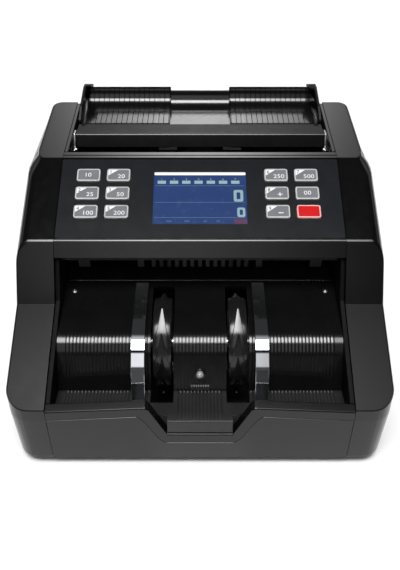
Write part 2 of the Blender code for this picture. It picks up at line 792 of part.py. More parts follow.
def rear_cover():
    """The back wall, with louvre slots and openings for the mains inlet and its switch."""
    half = BAY_HALF - FIT
    vents = []
    for i in range(VENT_COUNT):
        x = VENT_X + (i - (VENT_COUNT - 1) / 2) * VENT_PITCH
        vents.append((x - VENT_WIDTH / 2, x + VENT_WIDTH / 2, VENT_LOW, VENT_HIGH))
    holes = vents + [
        (x - w / 2 - FIT, x + w / 2 + FIT, INLET_HEIGHT - t / 2 - FIT, INLET_HEIGHT + t / 2 + FIT)
        for x, w, t in ((INLET_X, INLET_WIDTH, INLET_TALL), (SWITCH_X, SWITCH_WIDTH, SWITCH_TALL))
    ]
    columns = grid_lines([-half, half] + [x for hole in holes for x in hole[:2]])
    rows = grid_lines([GROUND_GAP, REAR_TOP_HEIGHT] + [h for hole in holes for h in hole[2:]])
    outer = [(BODY_DEPTH, h) for h in rows]
    inner = [(d - REAR_THICK, h) for d, h in outer]

    def is_open(x, row):
        return inside(x, (rows[row] + rows[row + 1]) / 2, holes)

    add_piece("rear_cover", sheet(columns, outer, inner, is_open), BLACK_PLASTIC)


def control_rows():
    """Places up the slope where an opening begins or ends."""
    return grid_lines([v for space in panel_openings(FIT) for v in space[2:]])


def control_columns(half):
    return grid_lines([-half, half] + [x for space in panel_openings(FIT) for x in space[:2]])


def control_panel():
    """The sloping cover with its hanging lip, the overlay on it, the display and the key board under it."""
    insets = [0, 0, 0, FIT, SKIN_DROP, FIT, 0, 0, 0]
    corners = offset_outline(HOUSING_OUTLINE, insets)
    arm, front, rear, deck = corners[3], corners[4], corners[5], corners[6]
    lip = front + (arm - front).normalized() * LIP_LENGTH
    ledge = rear + (deck - rear).normalized() * LEDGE_LENGTH
    tail = ledge + Vector((0.0, -LEDGE_DROP))
    openings = panel_openings(FIT)
    rows = control_rows()
    outer = [lip, front] + [Vector(panel_place(v, -SKIN_DROP)) for v in rows] + [rear, ledge, tail]
    inner = offset_path(outer, CONTROL_THICK)

    def skin_open(x, segment):
        first = segment - 2
        in_tail_notch = segment == len(outer) - 2 and abs(x) > SPAN_HALF
        in_rows = 0 <= first < len(rows) - 1
        return in_tail_notch or in_rows and inside(x, (rows[first] + rows[first + 1]) / 2, openings)

    half = BAY_HALF - FIT
    columns = grid_lines(control_columns(half) + [-SPAN_HALF, SPAN_HALF])
    skin = sheet(columns, outer, inner, skin_open)
    add_piece("control_panel_housing", skin, BLACK_PLASTIC)

    steps = [OVERLAY_MARGIN] + rows + [PANEL_LENGTH - OVERLAY_MARGIN / 2]
    face = [panel_place(v, 0.0) for v in steps]
    under = [panel_place(v, -OVERLAY_THICK) for v in steps]

    def overlay_open(x, segment):
        return inside(x, (steps[segment] + steps[segment + 1]) / 2, openings)

    overlay = sheet(control_columns(half - FIT), face, under, overlay_open)
    add_piece("panel_overlay", overlay, OVERLAY_FILM)

    window = moved(rounded_rectangle(DISPLAY_WIDTH, DISPLAY_HEIGHT, FIT), 0, DISPLAY_V)
    add_piece("display_window", panel_block([(window, -SKIN_UNDER), (window, -FIT)]), CLEAR_WINDOW)
    border = 2 * DISPLAY_BORDER
    module = moved(rounded_rectangle(DISPLAY_WIDTH + border, DISPLAY_HEIGHT + border, FIT), 0, DISPLAY_V)
    top = -SKIN_UNDER - FIT
    add_piece("display_module", panel_block([(module, top - DISPLAY_THICK), (module, top)]), DISPLAY_BLUE)

    board_top = top - DISPLAY_THICK - FIT
    low, high = OVERLAY_MARGIN + SKIN_UNDER, PANEL_LENGTH - OVERLAY_MARGIN - SKIN_UNDER
    board = [(-SPAN_HALF, low), (-SPAN_HALF, high), (SPAN_HALF, high), (SPAN_HALF, low)]
    levels = [(board, board_top - KEY_BOARD_THICK), (board, board_top)]
    add_piece("key_board", panel_block(levels), CIRCUIT_GREEN)


def keys():
    """Twelve keys in the panel's openings, each held by a flange under the skin."""
    flange_top = -SKIN_UNDER - FIT
    cap = rounded_rectangle(KEY_WIDTH - 2 * FIT, KEY_HEIGHT - 2 * FIT, KEY_CORNER)
    inset = 2 * (FIT + KEY_CHAMFER)
    crown = rounded_rectangle(KEY_WIDTH - inset, KEY_HEIGHT - inset, KEY_CORNER)
    flange = rounded_rectangle(KEY_WIDTH + 2 * KEY_FLANGE, KEY_HEIGHT + 2 * KEY_FLANGE, KEY_CORNER)
    for name, x, v in key_places():
        levels = [
            (moved(flange, x, v), flange_top - KEY_FLANGE_THICK),
            (moved(flange, x, v), flange_top),
            (moved(cap, x, v), flange_top),
            (moved(cap, x, v), KEY_PROUD - KEY_CHAMFER),
            (moved(crown, x, v), KEY_PROUD),
        ]
        finish = KEY_RED if name == "key_right_32" else KEY_GREY
        add_piece(name, panel_block(levels), finish, pivot=(x, *panel_place(v, 0.0)))


def floor_height(depth):
    return between(depth, [(0.0, FLOOR_FRONT_HEIGHT), (FLOOR_LENGTH, FLOOR_FRONT_HEIGHT - FLOOR_FALL)])


def stacker_floor():
    """The pocket's floor: a tongue with a front lip fills the notch, and two slots clear the wheels."""
    lip_low = NOTCH_HEIGHT + FIT
    start = FRONT_PANEL_THICK + FIT
    depths = [FLOOR_LIP_SETBACK, start, FLOOR_SLOT_START, FLOOR_LENGTH]
    outer = [Vector((FLOOR_LIP_SETBACK, lip_low))] + [Vector((d, floor_height(d))) for d in depths]
    inner = offset_path(outer, FLOOR_THICK)
    tongue = NOTCH_BOTTOM_HALF - FIT
    slot = (WHEEL_X - WHEEL_HALF_WIDTH - SLOT_CLEARANCE, WHEEL_X + WHEEL_HALF_WIDTH + SLOT_CLEARANCE)
    columns = grid_lines([s * x for s in (-1, 1) for x in (SPAN_HALF, tongue, *slot)])

    def is_open(x, segment):
        beside_tongue = segment < 2 and abs(x) > tongue
        in_slot = segment == 3 and slot[0] < abs(x) < slot[1]
        return beside_tongue or in_slot

    add_piece("stacker_floor", sheet(columns, outer, inner, is_open), GLOSS_BLACK)


def plate_path():
    foot = floor_height(FLOOR_LENGTH) + 4 * FIT
    return bent_path(
        PLATE_KNEE_DEPTH + PLATE_FALL, PLATE_KNEE_DEPTH, PLATE_KNEE_HEIGHT, PLATE_SLOPE,
        PLATE_BEND_RADIUS, PLATE_END_ANGLE, PLATE_STEPS, foot,
    )


def stacker_plate():
    """The ribbed fall that notes lean on, slotted for the wheels."""
    path = plate_path()
    top = path[0]
    knee = path[1]
    reach = WHEEL_RADIUS + SLOT_CLEARANCE
    axis = Vector((WHEEL_DEPTH, WHEEL_HEIGHT))
    slot_top = line_meets_circle(knee, top, axis, reach + PLATE_THICK)
    path = [Vector(p) for p in [top, slot_top] + path[1:]]
    inner = offset_path(path, -PLATE_THICK)
    slot = (WHEEL_X - WHEEL_HALF_WIDTH - SLOT_CLEARANCE, WHEEL_X + WHEEL_HALF_WIDTH + SLOT_CLEARANCE)
    columns = rib_columns(SPAN_HALF, [s * x for s in (-1, 1) for x in slot])

    def is_open(x, segment):
        return segment > 0 and slot[0] < abs(x) < slot[1]

    shape = sheet(columns, path, inner, is_open, lambda x: crest(x, SPAN_HALF))
    add_piece("stacker_plate", shape, GLOSS_BLACK)


def line_meets_circle(start, end, centre, radius):
    """The far crossing of a line from start to end with a circle."""
    start, run = Vector(start), (Vector(end) - Vector(start)).normalized()
    away = start - centre
    half = away.dot(run)
    return start + run * (-half + math.sqrt(half**2 - away.length_squared + radius**2))


def guide_strips():
    """Two bright spring strips that bow over the plate and stand on the floor."""
    knee = PLATE_KNEE_HEIGHT + STRIP_RISE
    knee_depth = PLATE_KNEE_DEPTH - STRIP_AHEAD
    foot = floor_height(PLATE_KNEE_DEPTH) + 3 * FIT
    path = bent_path(
        knee_depth + STRIP_LENGTH, knee_depth, knee, STRIP_SLOPE,
        STRIP_BEND_RADIUS, STRIP_END_ANGLE, PLATE_STEPS, foot,
    )
    path = [Vector(p) for p in path]
    inner = offset_path(path, -STRIP_THICK)
    for name, x in (("left_guide_strip", -STRIP_X), ("right_guide_strip", STRIP_X)):
        columns = [x - STRIP_WIDTH / 2, x + STRIP_WIDTH / 2]
        smooth(add_piece(name, sheet(columns, path, inner), BRIGHT_STEEL))


def stacker_sensor():
    """A clear lamp set square on the plate, over the middle of the floor."""
    outward = Vector((-math.sin(SENSOR_ANGLE), math.cos(SENSOR_ANGLE)))
    foot = Vector(
        (
            PLATE_KNEE_DEPTH - PLATE_BEND_RADIUS * (math.sin(SENSOR_ANGLE) - math.sin(PLATE_SLOPE)),
            PLATE_KNEE_HEIGHT - PLATE_BEND_RADIUS * (math.cos(PLATE_SLOPE) - math.cos(SENSOR_ANGLE)),
        )
    )
    seat = RIB_HEIGHT + FIT
    rim, dome = seat + SENSOR_RIM, seat + SENSOR_RIM + SENSOR_COLLAR
    wide = SENSOR_RADIUS + SENSOR_RIM
    profile = [(seat, wide), (rim, wide), (rim, SENSOR_RADIUS), (dome, SENSOR_RADIUS)]
    for degrees in DOME_ANGLES:
        angle = math.radians(degrees)
        profile.append((dome + SENSOR_RADIUS * math.sin(angle), SENSOR_RADIUS * math.cos(angle)))
    shape = turned(profile, (0, *foot), axis=(0, *outward), steps=12)
    smooth(add_piece("stacker_sensor", shape, CLEAR_WINDOW))


def exit_comb():
    """The bar behind the lip whose teeth strip notes into the wheels."""
    low, bar = COMB_TOP - COMB_BAR - COMB_TOOTH, COMB_TOP - COMB_BAR
    middles = [(i - (COMB_TOOTH_COUNT - 1) / 2) * COMB_TOOTH_PITCH for i in range(COMB_TOOTH_COUNT)]
    teeth = [(x, COMB_TOOTH_WIDTH) for x in middles]
    for side in (-1, 1):
        teeth += [(side * COMB_TAB_X, COMB_TAB_WIDTH), (side * STRIP_X, COMB_STUB_WIDTH)]
    outline = [(SPAN_HALF, COMB_TOP), (-SPAN_HALF, COMB_TOP), (-SPAN_HALF, bar)]
    for x, width in sorted(teeth):
        outline += [(x - width / 2, bar), (x - width / 2, low), (x + width / 2, low), (x + width / 2, bar)]
    outline.append((SPAN_HALF, bar))
    rings = [[(x, d, h) for x, h in outline] for d in (COMB_DEPTH, COMB_DEPTH + COMB_THICK)]
    add_piece("exit_comb", loft(rings), BLACK_PLASTIC)


def fin_edges():
    """A fin's two faces from hub to tip, as (depth, height, half width) about the wheel's axis."""
    outer, widths = [], []
    for i in range(FIN_STEPS + 1):
        share = i / FIN_STEPS
        radius = WHEEL_HUB_RADIUS + (WHEEL_RADIUS - WHEEL_HUB_RADIUS) * share ** (1 / FIN_CURVE)
        angle = -FIN_SWEEP * share
        outer.append(Vector((radius * math.cos(angle), radius * math.sin(angle))))
        from_tip = min(FIN_SWEEP * (1 - share) / FIN_TAPER, 1.0)
        spread = from_tip**FIN_FLARE
        widths.append(WHEEL_TIP_HALF_WIDTH + (WHEEL_HALF_WIDTH - WHEEL_TIP_HALF_WIDTH) * spread)
    inner = offset_path(outer, FIN_THICK)
    root = FIN_THICK / WHEEL_HUB_RADIUS
    inner[0] = Vector((WHEEL_HUB_RADIUS * math.cos(root), -WHEEL_HUB_RADIUS * math.sin(root)))
    inner[-1] = outer[-1] * (1 - FIN_TIP_THICK / WHEEL_RADIUS)
    return [[(*p, w) for p, w in zip(edge, widths)] for edge in (outer, inner)]


def stacker_wheels():
    """Two soft wheels whose long fins trail back from the hub to a pointed tip."""
    bore = SHAFT_RADIUS + FIT
    outer, inner = fin_edges()
    profile = [(bore, 0.0, WHEEL_HALF_WIDTH)] + outer + inner[::-1]
    per_fin = len(profile)
    for name, middle in (("left_stacker_wheel", -WHEEL_X), ("right_stacker_wheel", WHEEL_X)):
        points, faces = [], []
        for side in (-1, 1):
            for fin in range(FIN_COUNT):
                turn = -2 * math.pi * fin / FIN_COUNT
                for a, b, half in profile:
                    depth = a * math.cos(turn) - b * math.sin(turn)
                    height = a * math.sin(turn) + b * math.cos(turn)
                    points.append((middle + side * half, WHEEL_DEPTH + depth, WHEEL_HEIGHT + height))
        other = per_fin * FIN_COUNT
        for fin in range(FIN_COUNT):
            here, following = fin * per_fin, (fin + 1) % FIN_COUNT * per_fin
            edge = [here + i for i in range(1, per_fin)] + [following + 1]
            for i in range(FIN_STEPS):
                near, far = edge[i], edge[per_fin - 2 - i]
                strip = (near, near + 1, far - 1, far)
                faces += [strip, tuple(other + k for k in reversed(strip))]
            hub = (here, edge[0], edge[-2], edge[-1], following)
            faces += [hub, tuple(other + k for k in reversed(hub))]
            faces += [(q, p, other + p, other + q) for p, q in zip(edge, edge[1:])]
            faces.append((here, following, other + following, other + here))
        wheel = add_piece(name, (points, faces), SOFT_BLACK, pivot=(0, WHEEL_DEPTH, WHEEL_HEIGHT))
        smooth(wheel)


def scoop_path():
    """The hopper's floor and rear wall, from the feed end up to the rear edge."""
    wall = DEPTH - SCOOP_THICK
    front = (SCOOP_FRONT_DEPTH, SCOOP_FRONT_HEIGHT)
    knee = (SCOOP_KNEE_DEPTH, SCOOP_KNEE_HEIGHT)
    corner = (wall, SCOOP_CORNER_HEIGHT)
    top = (wall, SCOOP_TOP_HEIGHT)
    path = [Vector(front)]
    path += rounded(front, knee, corner, SCOOP_KNEE_BEND, 1)
    start = Vector(corner) + (Vector(knee) - Vector(corner)).normalized() * SCOOP_ARC_RUN
    for i in range(SCOOP_ARC_STEPS + 1):
        t = i / SCOOP_ARC_STEPS
        path.append(start * (1 - t) ** 2 + Vector(corner) * (2 * t * (1 - t)) + Vector(top) * t**2)
    return path


def scoop_height(depth):
    """Height of the hopper's sloping feed floor."""
    return between(depth, [(SCOOP_FRONT_DEPTH, SCOOP_FRONT_HEIGHT), (SCOOP_KNEE_DEPTH, SCOOP_KNEE_HEIGHT)])


def hopper_scoop():
    """The ribbed tray that the pile of notes lies in, notched at its front for the pick-up rollers."""
    half = SPAN_HALF - CHEEK_THICK - FIT
    drop = scoop_height(PICKUP_DEPTH) - SCOOP_THICK - PICKUP_HEIGHT
    slot_end = PICKUP_DEPTH + math.sqrt(PICKUP_RADIUS**2 - drop**2) + SLOT_CLEARANCE
    path = scoop_path()
    path.insert(1, Vector((slot_end, scoop_height(slot_end))))
    inner = offset_path(path, SCOOP_THICK)
    near, far = PICKUP_X - PICKUP_HALF_WIDTH - SLOT_CLEARANCE, PICKUP_X + PICKUP_HALF_WIDTH + SLOT_CLEARANCE
    columns = rib_columns(half, [s * x for s in (-1, 1) for x in (near, far)])

    def is_open(x, segment):
        return segment == 0 and near < abs(x) < far

    def rib(x):
        return crest(x, half) if abs(x) > SCOOP_PLAIN_HALF else 0.0

    add_piece("hopper_scoop", sheet(columns, path, inner, is_open, rib), GLOSS_BLACK)


def hopper_cheeks():
    """Rounded end walls that stand above the tray on both sides."""
    front = DEPTH - CHEEK_LENGTH
    low = scoop_height(front) - CHEEK_DROP / 2
    outline = [
        (front, low),
        (front, low + CHEEK_BROW),
        (front + CHEEK_SHOULDER_SETBACK, CHEEK_TOP_HEIGHT - CHEEK_SHOULDER_DROP),
        (DEPTH - CHEEK_CROWN, CHEEK_TOP_HEIGHT),
        (DEPTH, CHEEK_TOP_HEIGHT),
        (DEPTH, SCOOP_CORNER_HEIGHT - CHEEK_DROP / 2),
        (DEPTH - SCOOP_BEND, SCOOP_CORNER_HEIGHT - CHEEK_DROP),
    ]
    outline = rounded_outline(outline, CHEEK_ROUND)
    for side, name in ((-1, "left_hopper_cheek"), (1, "right_hopper_cheek")):
        shape = prism(outline, side * (SPAN_HALF - CHEEK_THICK), side * SPAN_HALF)
        smooth(add_piece(name, shape, GLOSS_BLACK))


def bar_path():
    low = Vector((PANEL_REAR_DEPTH + BAR_BEHIND_PANEL, PANEL_REAR_HEIGHT - BAR_BELOW_PANEL))
    edge = low + Vector((BAR_FACE_RUN, BAR_FACE_RISE))
    return [low, edge, edge + Vector((BAR_TOP_RUN, BAR_TOP_RISE))]


def hopper_bar():
    """The bent cover across the feed gap and the rubber pad under it that holds back all but one note."""
    path = bar_path()
    inner = offset_path(path, BAR_THICK)
    add_piece("hopper_bar", sheet([-SPAN_HALF, SPAN_HALF], path, inner), BLACK_PLASTIC)
    front = inner[1].x + FIT
    top = inner[1].y - FIT
    foot = [(d, scoop_height(d) + PAD_GAP) for d in (front, front + PAD_LENGTH)]
    outline = [foot[0], (front, top), (front + PAD_LENGTH, top), foot[1]]
    add_piece("retard_pad", prism(outline, -PAD_HALF, PAD_HALF), RUBBER)


def feed_guides():
    """The curved guide round the drum and the flat one that leads notes to the wheels."""
    inner, outer = [], []
    reach = DRUM_RADIUS + GUIDE_GAP
    for i in range(GUIDE_STEPS + 1):
        angle = GUIDE_START + (GUIDE_END - GUIDE_START) * i / GUIDE_STEPS
        spoke = Vector((math.cos(angle), math.sin(angle)))
        inner.append(Vector((DRUM_DEPTH, DRUM_HEIGHT)) + spoke * reach)
        outer.append(Vector((DRUM_DEPTH, DRUM_HEIGHT)) + spoke * (reach + GUIDE_THICK))
    add_piece("drum_guide", sheet([-SPAN_HALF, SPAN_HALF], outer, inner), DARK_STEEL)
    top = plate_path()[0]
    path = [
        Vector((DRUM_DEPTH - EXIT_AHEAD_OF_DRUM, DRUM_HEIGHT - EXIT_BELOW_DRUM)),
        Vector((top[0] + EXIT_GAP, top[1] - EXIT_DROP)),
    ]
    under = offset_path(path, -GUIDE_THICK)
    add_piece("exit_guide", sheet([-SPAN_HALF, SPAN_HALF], path, under), DARK_STEEL)


def pulley_steps(start, radius, direction=1):
    """Profile of one flanged pulley that begins at start and runs outwards."""
    rim = radius + PULLEY_RIM
    steps = [
        (0.0, rim),
        (PULLEY_FLANGE, rim),
        (PULLEY_FLANGE, radius),
        (PULLEY_WIDTH - PULLEY_FLANGE, radius),
        (PULLEY_WIDTH - PULLEY_FLANGE, rim),
        (PULLEY_WIDTH, rim),
    ]
    return [(direction * (start + along), r) for along, r in steps]


def feed_shafts():
    """The stacker, drum, pick-up and pinch shafts with what is fixed on them."""
    r = SHAFT_RADIUS
    end = FRAME_OUTER + PULLEY_GAP / 2

    stacker = list(reversed(pulley_steps(ROW_ONE, STACKER_PULLEY_RADIUS, -1))) + [(-ROW_ONE, r), (end, r)]
    shape = turned(stacker, (0, WHEEL_DEPTH, WHEEL_HEIGHT))
    smooth(add_piece("stacker_shaft", shape, BRIGHT_STEEL, pivot=(0, WHEEL_DEPTH, WHEEL_HEIGHT)))

    drum = list(reversed(pulley_steps(ROW_TWO, PICKUP_DRIVE_RADIUS, -1)))
    drum += list(reversed(pulley_steps(ROW_ONE, STACKER_DRIVE_RADIUS, -1)))
    drum += [(-ROW_ONE, r), (ROW_ONE, r)] + pulley_steps(ROW_ONE, DRUM_PULLEY_RADIUS)
    centre = (0, DRUM_DEPTH, DRUM_HEIGHT)
    smooth(add_piece("drum_shaft", turned(drum, centre), BRIGHT_STEEL, pivot=centre))
    edge = DRUM_HALF - DRUM_CHAMFER
    sleeve = [
        (-DRUM_HALF, r + FIT),
        (-DRUM_HALF, DRUM_RADIUS - DRUM_CHAMFER),
        (-edge, DRUM_RADIUS),
        (edge, DRUM_RADIUS),
        (DRUM_HALF, DRUM_RADIUS - DRUM_CHAMFER),
        (DRUM_HALF, r + FIT),
    ]
    smooth(add_piece("feed_drum", turned(sleeve, centre, bored=True), RUBBER, pivot=centre))

    near, far = PICKUP_X - PICKUP_HALF_WIDTH, PICKUP_X + PICKUP_HALF_WIDTH
    pickup = list(reversed(pulley_steps(ROW_TWO, PICKUP_PULLEY_RADIUS, -1))) + [(-ROW_TWO, r)]
    for x0, x1 in ((-far, -near), (near, far)):
        pickup += [(x0, r), (x0, PICKUP_RADIUS), (x1, PICKUP_RADIUS), (x1, r)]
    pickup.append((end, r))
    centre = (0, PICKUP_DEPTH, PICKUP_HEIGHT)
    smooth(add_piece("pickup_roller_shaft", turned(pickup, centre), RUBBER, pivot=centre))

    thin = PINCH_SHAFT_RADIUS
    pinch = [(-end, thin)]
    for middle in (-PINCH_ROLLER_X, PINCH_ROLLER_X):
        x0, x1 = middle - PINCH_ROLLER_HALF, middle + PINCH_ROLLER_HALF
        pinch += [(x0, thin), (x0, PINCH_RADIUS), (x1, PINCH_RADIUS), (x1, thin)]
    pinch.append((end, thin))
    centre = (0, PINCH_DEPTH, PINCH_HEIGHT)
    smooth(add_piece("pinch_roller_shaft", turned(pinch, centre), RUBBER, pivot=centre))


def stacker_bushes():
    """Flanged bushes of the stacker shaft, pushed into the frame plates from inside."""
    bore = SHAFT_RADIUS + FIT
    outside = SHAFT_RADIUS + BUSH_WALL
    rim = outside + BUSH_FLANGE
    inner = FRAME_INNER - FIT
    profile = [
        (inner - BUSH_FLANGE_THICK, bore),
        (inner - BUSH_FLANGE_THICK, rim),
        (inner, rim),
        (inner, outside),
        (FRAME_OUTER, outside),
        (FRAME_OUTER, bore),
    ]
    for side, name in ((-1, "left_stacker_bush"), (1, "right_stacker_bush")):
        shape = turned([(side * a, r) for a, r in profile], (0, WHEEL_DEPTH, WHEEL_HEIGHT), bored=True)
        smooth(add_piece(name, shape, BRASS))


def motor():
    """The motor on the right frame plate, and its pulley outside it."""
    face = MOTOR_FACE
    nose = face + MOTOR_NOSE
    bore = MOTOR_SHAFT_RADIUS + FIT
    centre = (0, MOTOR_DEPTH, MOTOR_HEIGHT)
    profile = [
        (face - MOTOR_LENGTH - MOTOR_CHAMFER, MOTOR_CAP_RADIUS),
        (face - MOTOR_LENGTH, MOTOR_CAP_RADIUS),
        (face - MOTOR_LENGTH, MOTOR_RADIUS - MOTOR_CHAMFER),
        (face - MOTOR_LENGTH + MOTOR_CHAMFER, MOTOR_RADIUS),
        (face, MOTOR_RADIUS),
        (face, MOTOR_NOSE_RADIUS),
        (nose, MOTOR_NOSE_RADIUS),
        (nose, bore),
        (nose - MOTOR_SHAFT_DEPTH, bore),
    ]
    smooth(add_piece("main_motor", turned(profile, centre), BRIGHT_STEEL))
    shaft = MOTOR_SHAFT_RADIUS
    pulley = [(nose - MOTOR_SHAFT_DEPTH + FIT, shaft), (ROW_ONE, shaft)]
    pulley += pulley_steps(ROW_ONE, MOTOR_PULLEY_RADIUS)
    smooth(add_piece("motor_pulley", turned(pulley, centre), DARK_STEEL, pivot=centre))


def belt_ring(one, one_radius, other, other_radius):
    """The taut outline round two pulleys."""
    one, other = Vector(one), Vector(other)
    run = other - one
    heading = math.atan2(run.y, run.x)
    wrap = math.acos((one_radius - other_radius) / run.length)
    ring = []
    for centre, radius, start, end in (
        (one, one_radius, heading + wrap, heading + 2 * math.pi - wrap),
        (other, other_radius, heading - wrap, heading + wrap),
    ):
        for i in range(BELT_STEPS + 1):
            angle = start + (end - start) * i / BELT_STEPS
            ring.append(centre + Vector((math.cos(angle), math.sin(angle))) * radius)
    return ring


def belts():
    """Three flat belts: motor to drum on the right, drum to stacker and to pick-up on the left."""
    drum = (DRUM_DEPTH, DRUM_HEIGHT)
    motor = (MOTOR_DEPTH, MOTOR_HEIGHT)
    stacker = (WHEEL_DEPTH, WHEEL_HEIGHT)
    pickup = (PICKUP_DEPTH, PICKUP_HEIGHT)
    runs = {
        "motor_belt": (1, ROW_ONE, motor, MOTOR_PULLEY_RADIUS, drum, DRUM_PULLEY_RADIUS),
        "stacker_belt": (-1, ROW_ONE, stacker, STACKER_PULLEY_RADIUS, drum, STACKER_DRIVE_RADIUS),
        "pickup_belt": (-1, ROW_TWO, pickup, PICKUP_PULLEY_RADIUS, drum, PICKUP_DRIVE_RADIUS),
    }
    for name, (side, row, one, one_radius, other, other_radius) in runs.items():
        edges = [side * (row + PULLEY_FLANGE + FIT), side * (row + PULLEY_WIDTH - PULLEY_FLANGE - FIT)]
        rings = []
        for x, thick in ((edges[0], 0), (edges[0], BELT_THICK), (edges[1], BELT_THICK), (edges[1], 0)):
            grown = FIT + thick
            ring = belt_ring(one, one_radius + grown, other, other_radius + grown)
            rings.append([(x, p.x, p.y) for p in ring])
        smooth(add_piece(name, loft(rings, looped=True), RUBBER))


def electrics():
    """The main board on its legs and the mains transformer, both standing on the base pan."""
    low = BASE_TOP + FIT
    under = low + BOARD_LEG
    top = under + BOARD_THICK
    left, right = BOARD_LEFT_X, BOARD_LEFT_X + BOARD_WIDTH
    supply_front = SUPPLY_REAR - SUPPLY_LENGTH
    board_rear = supply_front - BOARD_GAP
    section = [
        (left, low),
        (left, top),
        (right, top),
        (right, low),
        (right - BOARD_LEG_WIDTH, low),
        (right - BOARD_LEG_WIDTH, under),
        (left + BOARD_LEG_WIDTH, under),
        (left + BOARD_LEG_WIDTH, low),
    ]
    rings = [[(x, d, h) for x, h in section] for d in (board_rear - BOARD_LENGTH, board_rear)]
    add_piece("main_board", loft(rings), CIRCUIT_GREEN)

    core, coil = low + SUPPLY_CORE_HEIGHT, low + SUPPLY_COIL_HEIGHT
    left, right = SUPPLY_RIGHT_X - SUPPLY_WIDTH, SUPPLY_RIGHT_X
    section = [
        (left, low),
        (left, coil),
        (left + SUPPLY_YOKE, coil),
        (left + SUPPLY_YOKE, core),
        (right - SUPPLY_YOKE, core),
        (right - SUPPLY_YOKE, coil),
        (right, coil),
        (right, low),
    ]
    rings = [[(x, d, h) for x, h in section] for d in (supply_front, SUPPLY_REAR)]
    add_piece("power_supply", loft(rings), DARK_STEEL)


def rear_block(x, levels):
    """A socket body from (width, tall, depth) levels about the inlet's height."""
    rings = []
    for width, tall, depth in levels:
        ring = rounded_rectangle(width, tall, SOCKET_CORNER)
        rings.append([(x + a, depth, INLET_HEIGHT + b) for a, b in ring])
    return loft(rings)


def rear_socket(x, width, tall, recess_width, recess_tall, recess, body):
    """A snap-in body: a recess, a flange on the cover's face and a box behind it."""
    face = BODY_DEPTH + FIT
    front = face + FLANGE_THICK
    wide, high = width + 2 * FLANGE_OVERLAP, tall + 2 * FLANGE_OVERLAP
    inner_width, inner_tall = width - 2 * FIT, tall - 2 * FIT
    return rear_block(
        x,
        [
            (recess_width, recess_tall, front - recess),
            (recess_width, recess_tall, front),
            (wide, high, front),
            (wide, high, face),
            (inner_width, inner_tall, face),
            (inner_width, inner_tall, face - body),
        ],
    )


def mains_inlet():
    """The inlet socket, the switch frame beside it and the rocker that tips in the frame."""
    inlet = rear_socket(
        INLET_X, INLET_WIDTH, INLET_TALL, INLET_RECESS_WIDTH, INLET_RECESS_TALL, INLET_RECESS, INLET_BODY
    )
    add_piece("power_inlet", inlet, BLACK_PLASTIC)
    hole_width, hole_tall = SWITCH_WIDTH - 2 * SWITCH_WALL, SWITCH_TALL - 2 * SWITCH_WALL
    frame = rear_socket(
        SWITCH_X, SWITCH_WIDTH, SWITCH_TALL, hole_width, hole_tall, SWITCH_RECESS, SWITCH_BODY
    )
    add_piece("switch_frame", frame, BLACK_PLASTIC)
    half = hole_tall / 2 - ROCKER_END_GAP
    outline = [
        (-ROCKER_BACK, ROCKER_TAPER - half),
        (-ROCKER_BACK, half - ROCKER_TAPER),
        (ROCKER_HORN, half),
        (ROCKER_CREST, 0),
        (ROCKER_HORN, -half),
    ]
    along, across = math.cos(-ROCKER_TILT), math.sin(-ROCKER_TILT)
    tipped = [
        (BODY_DEPTH + a * along - b * across, INLET_HEIGHT + a * across + b * along)
        for a, b in outline
    ]
    reach = hole_width / 2 - 2 * FIT
    shape = prism(tipped, SWITCH_X - reach, SWITCH_X + reach)
    add_piece("power_rocker", shape, KEY_RED, pivot=(SWITCH_X, BODY_DEPTH, INLET_HEIGHT))


for old in list(bpy.data.objects):
    bpy.data.objects.remove(old, do_unlink=True)

ASSEMBLY = bpy.data.objects.new("banknote_counter", None)
bpy.context.scene.collection.objects.link(ASSEMBLY)

BLACK_PLASTIC = material("black_plastic", (0.030, 0.030, 0.032), 0.45)
GLOSS_BLACK = material("gloss_black", (0.012, 0.012, 0.013), 0.18)
OVERLAY_FILM = material("overlay_film", (0.016, 0.017, 0.020), 0.35)
SOFT_BLACK = material("soft_black", (0.025, 0.025, 0.026), 0.40)
RUBBER = material("rubber", (0.020, 0.020, 0.020), 0.80)
DARK_STEEL = material("dark_steel", (0.060, 0.060, 0.065), 0.40, 0.6)
BRIGHT_STEEL = material("bright_steel", (0.80, 0.80, 0.82), 0.12, 1.0)
BRASS = material("brass", (0.70, 0.52, 0.22), 0.30, 1.0)
CLEAR_WINDOW = material("clear_window", (0.85, 0.88, 0.90), 0.05, 0.0, 0.35)
DISPLAY_BLUE = material("display_blue", (0.050, 0.110, 0.330), 0.25)
CIRCUIT_GREEN = material("circuit_green", (0.020, 0.140, 0.060), 0.50)
KEY_GREY = material("key_grey", (0.360, 0.370, 0.400), 0.40)
KEY_RED = material("key_red", (0.750, 0.010, 0.010), 0.35)

side_housings()
frame_plates()
base_pan()
feet()
front_panel()
rear_cover()
control_panel()
keys()
stacker_floor()
stacker_plate()
guide_strips()
stacker_sensor()
exit_comb()
stacker_wheels()
hopper_scoop()
hopper_cheeks()
hopper_bar()
feed_guides()
feed_shafts()
stacker_bushes()
motor()
belts()
electrics()
mains_inlet()
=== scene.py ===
"""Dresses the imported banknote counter: finer shapes, finishes, a studio and the photograph's camera.

Places are x (right of the middle plane), depth (back from the front face) and height (above the table),
in metres.
"""

import json
from math import cos, pi, radians, sin, sqrt, tan

import bmesh
import bpy
import numpy
from bl_math import smoothstep
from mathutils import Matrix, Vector
from mathutils.geometry import normal, tessellate_polygon

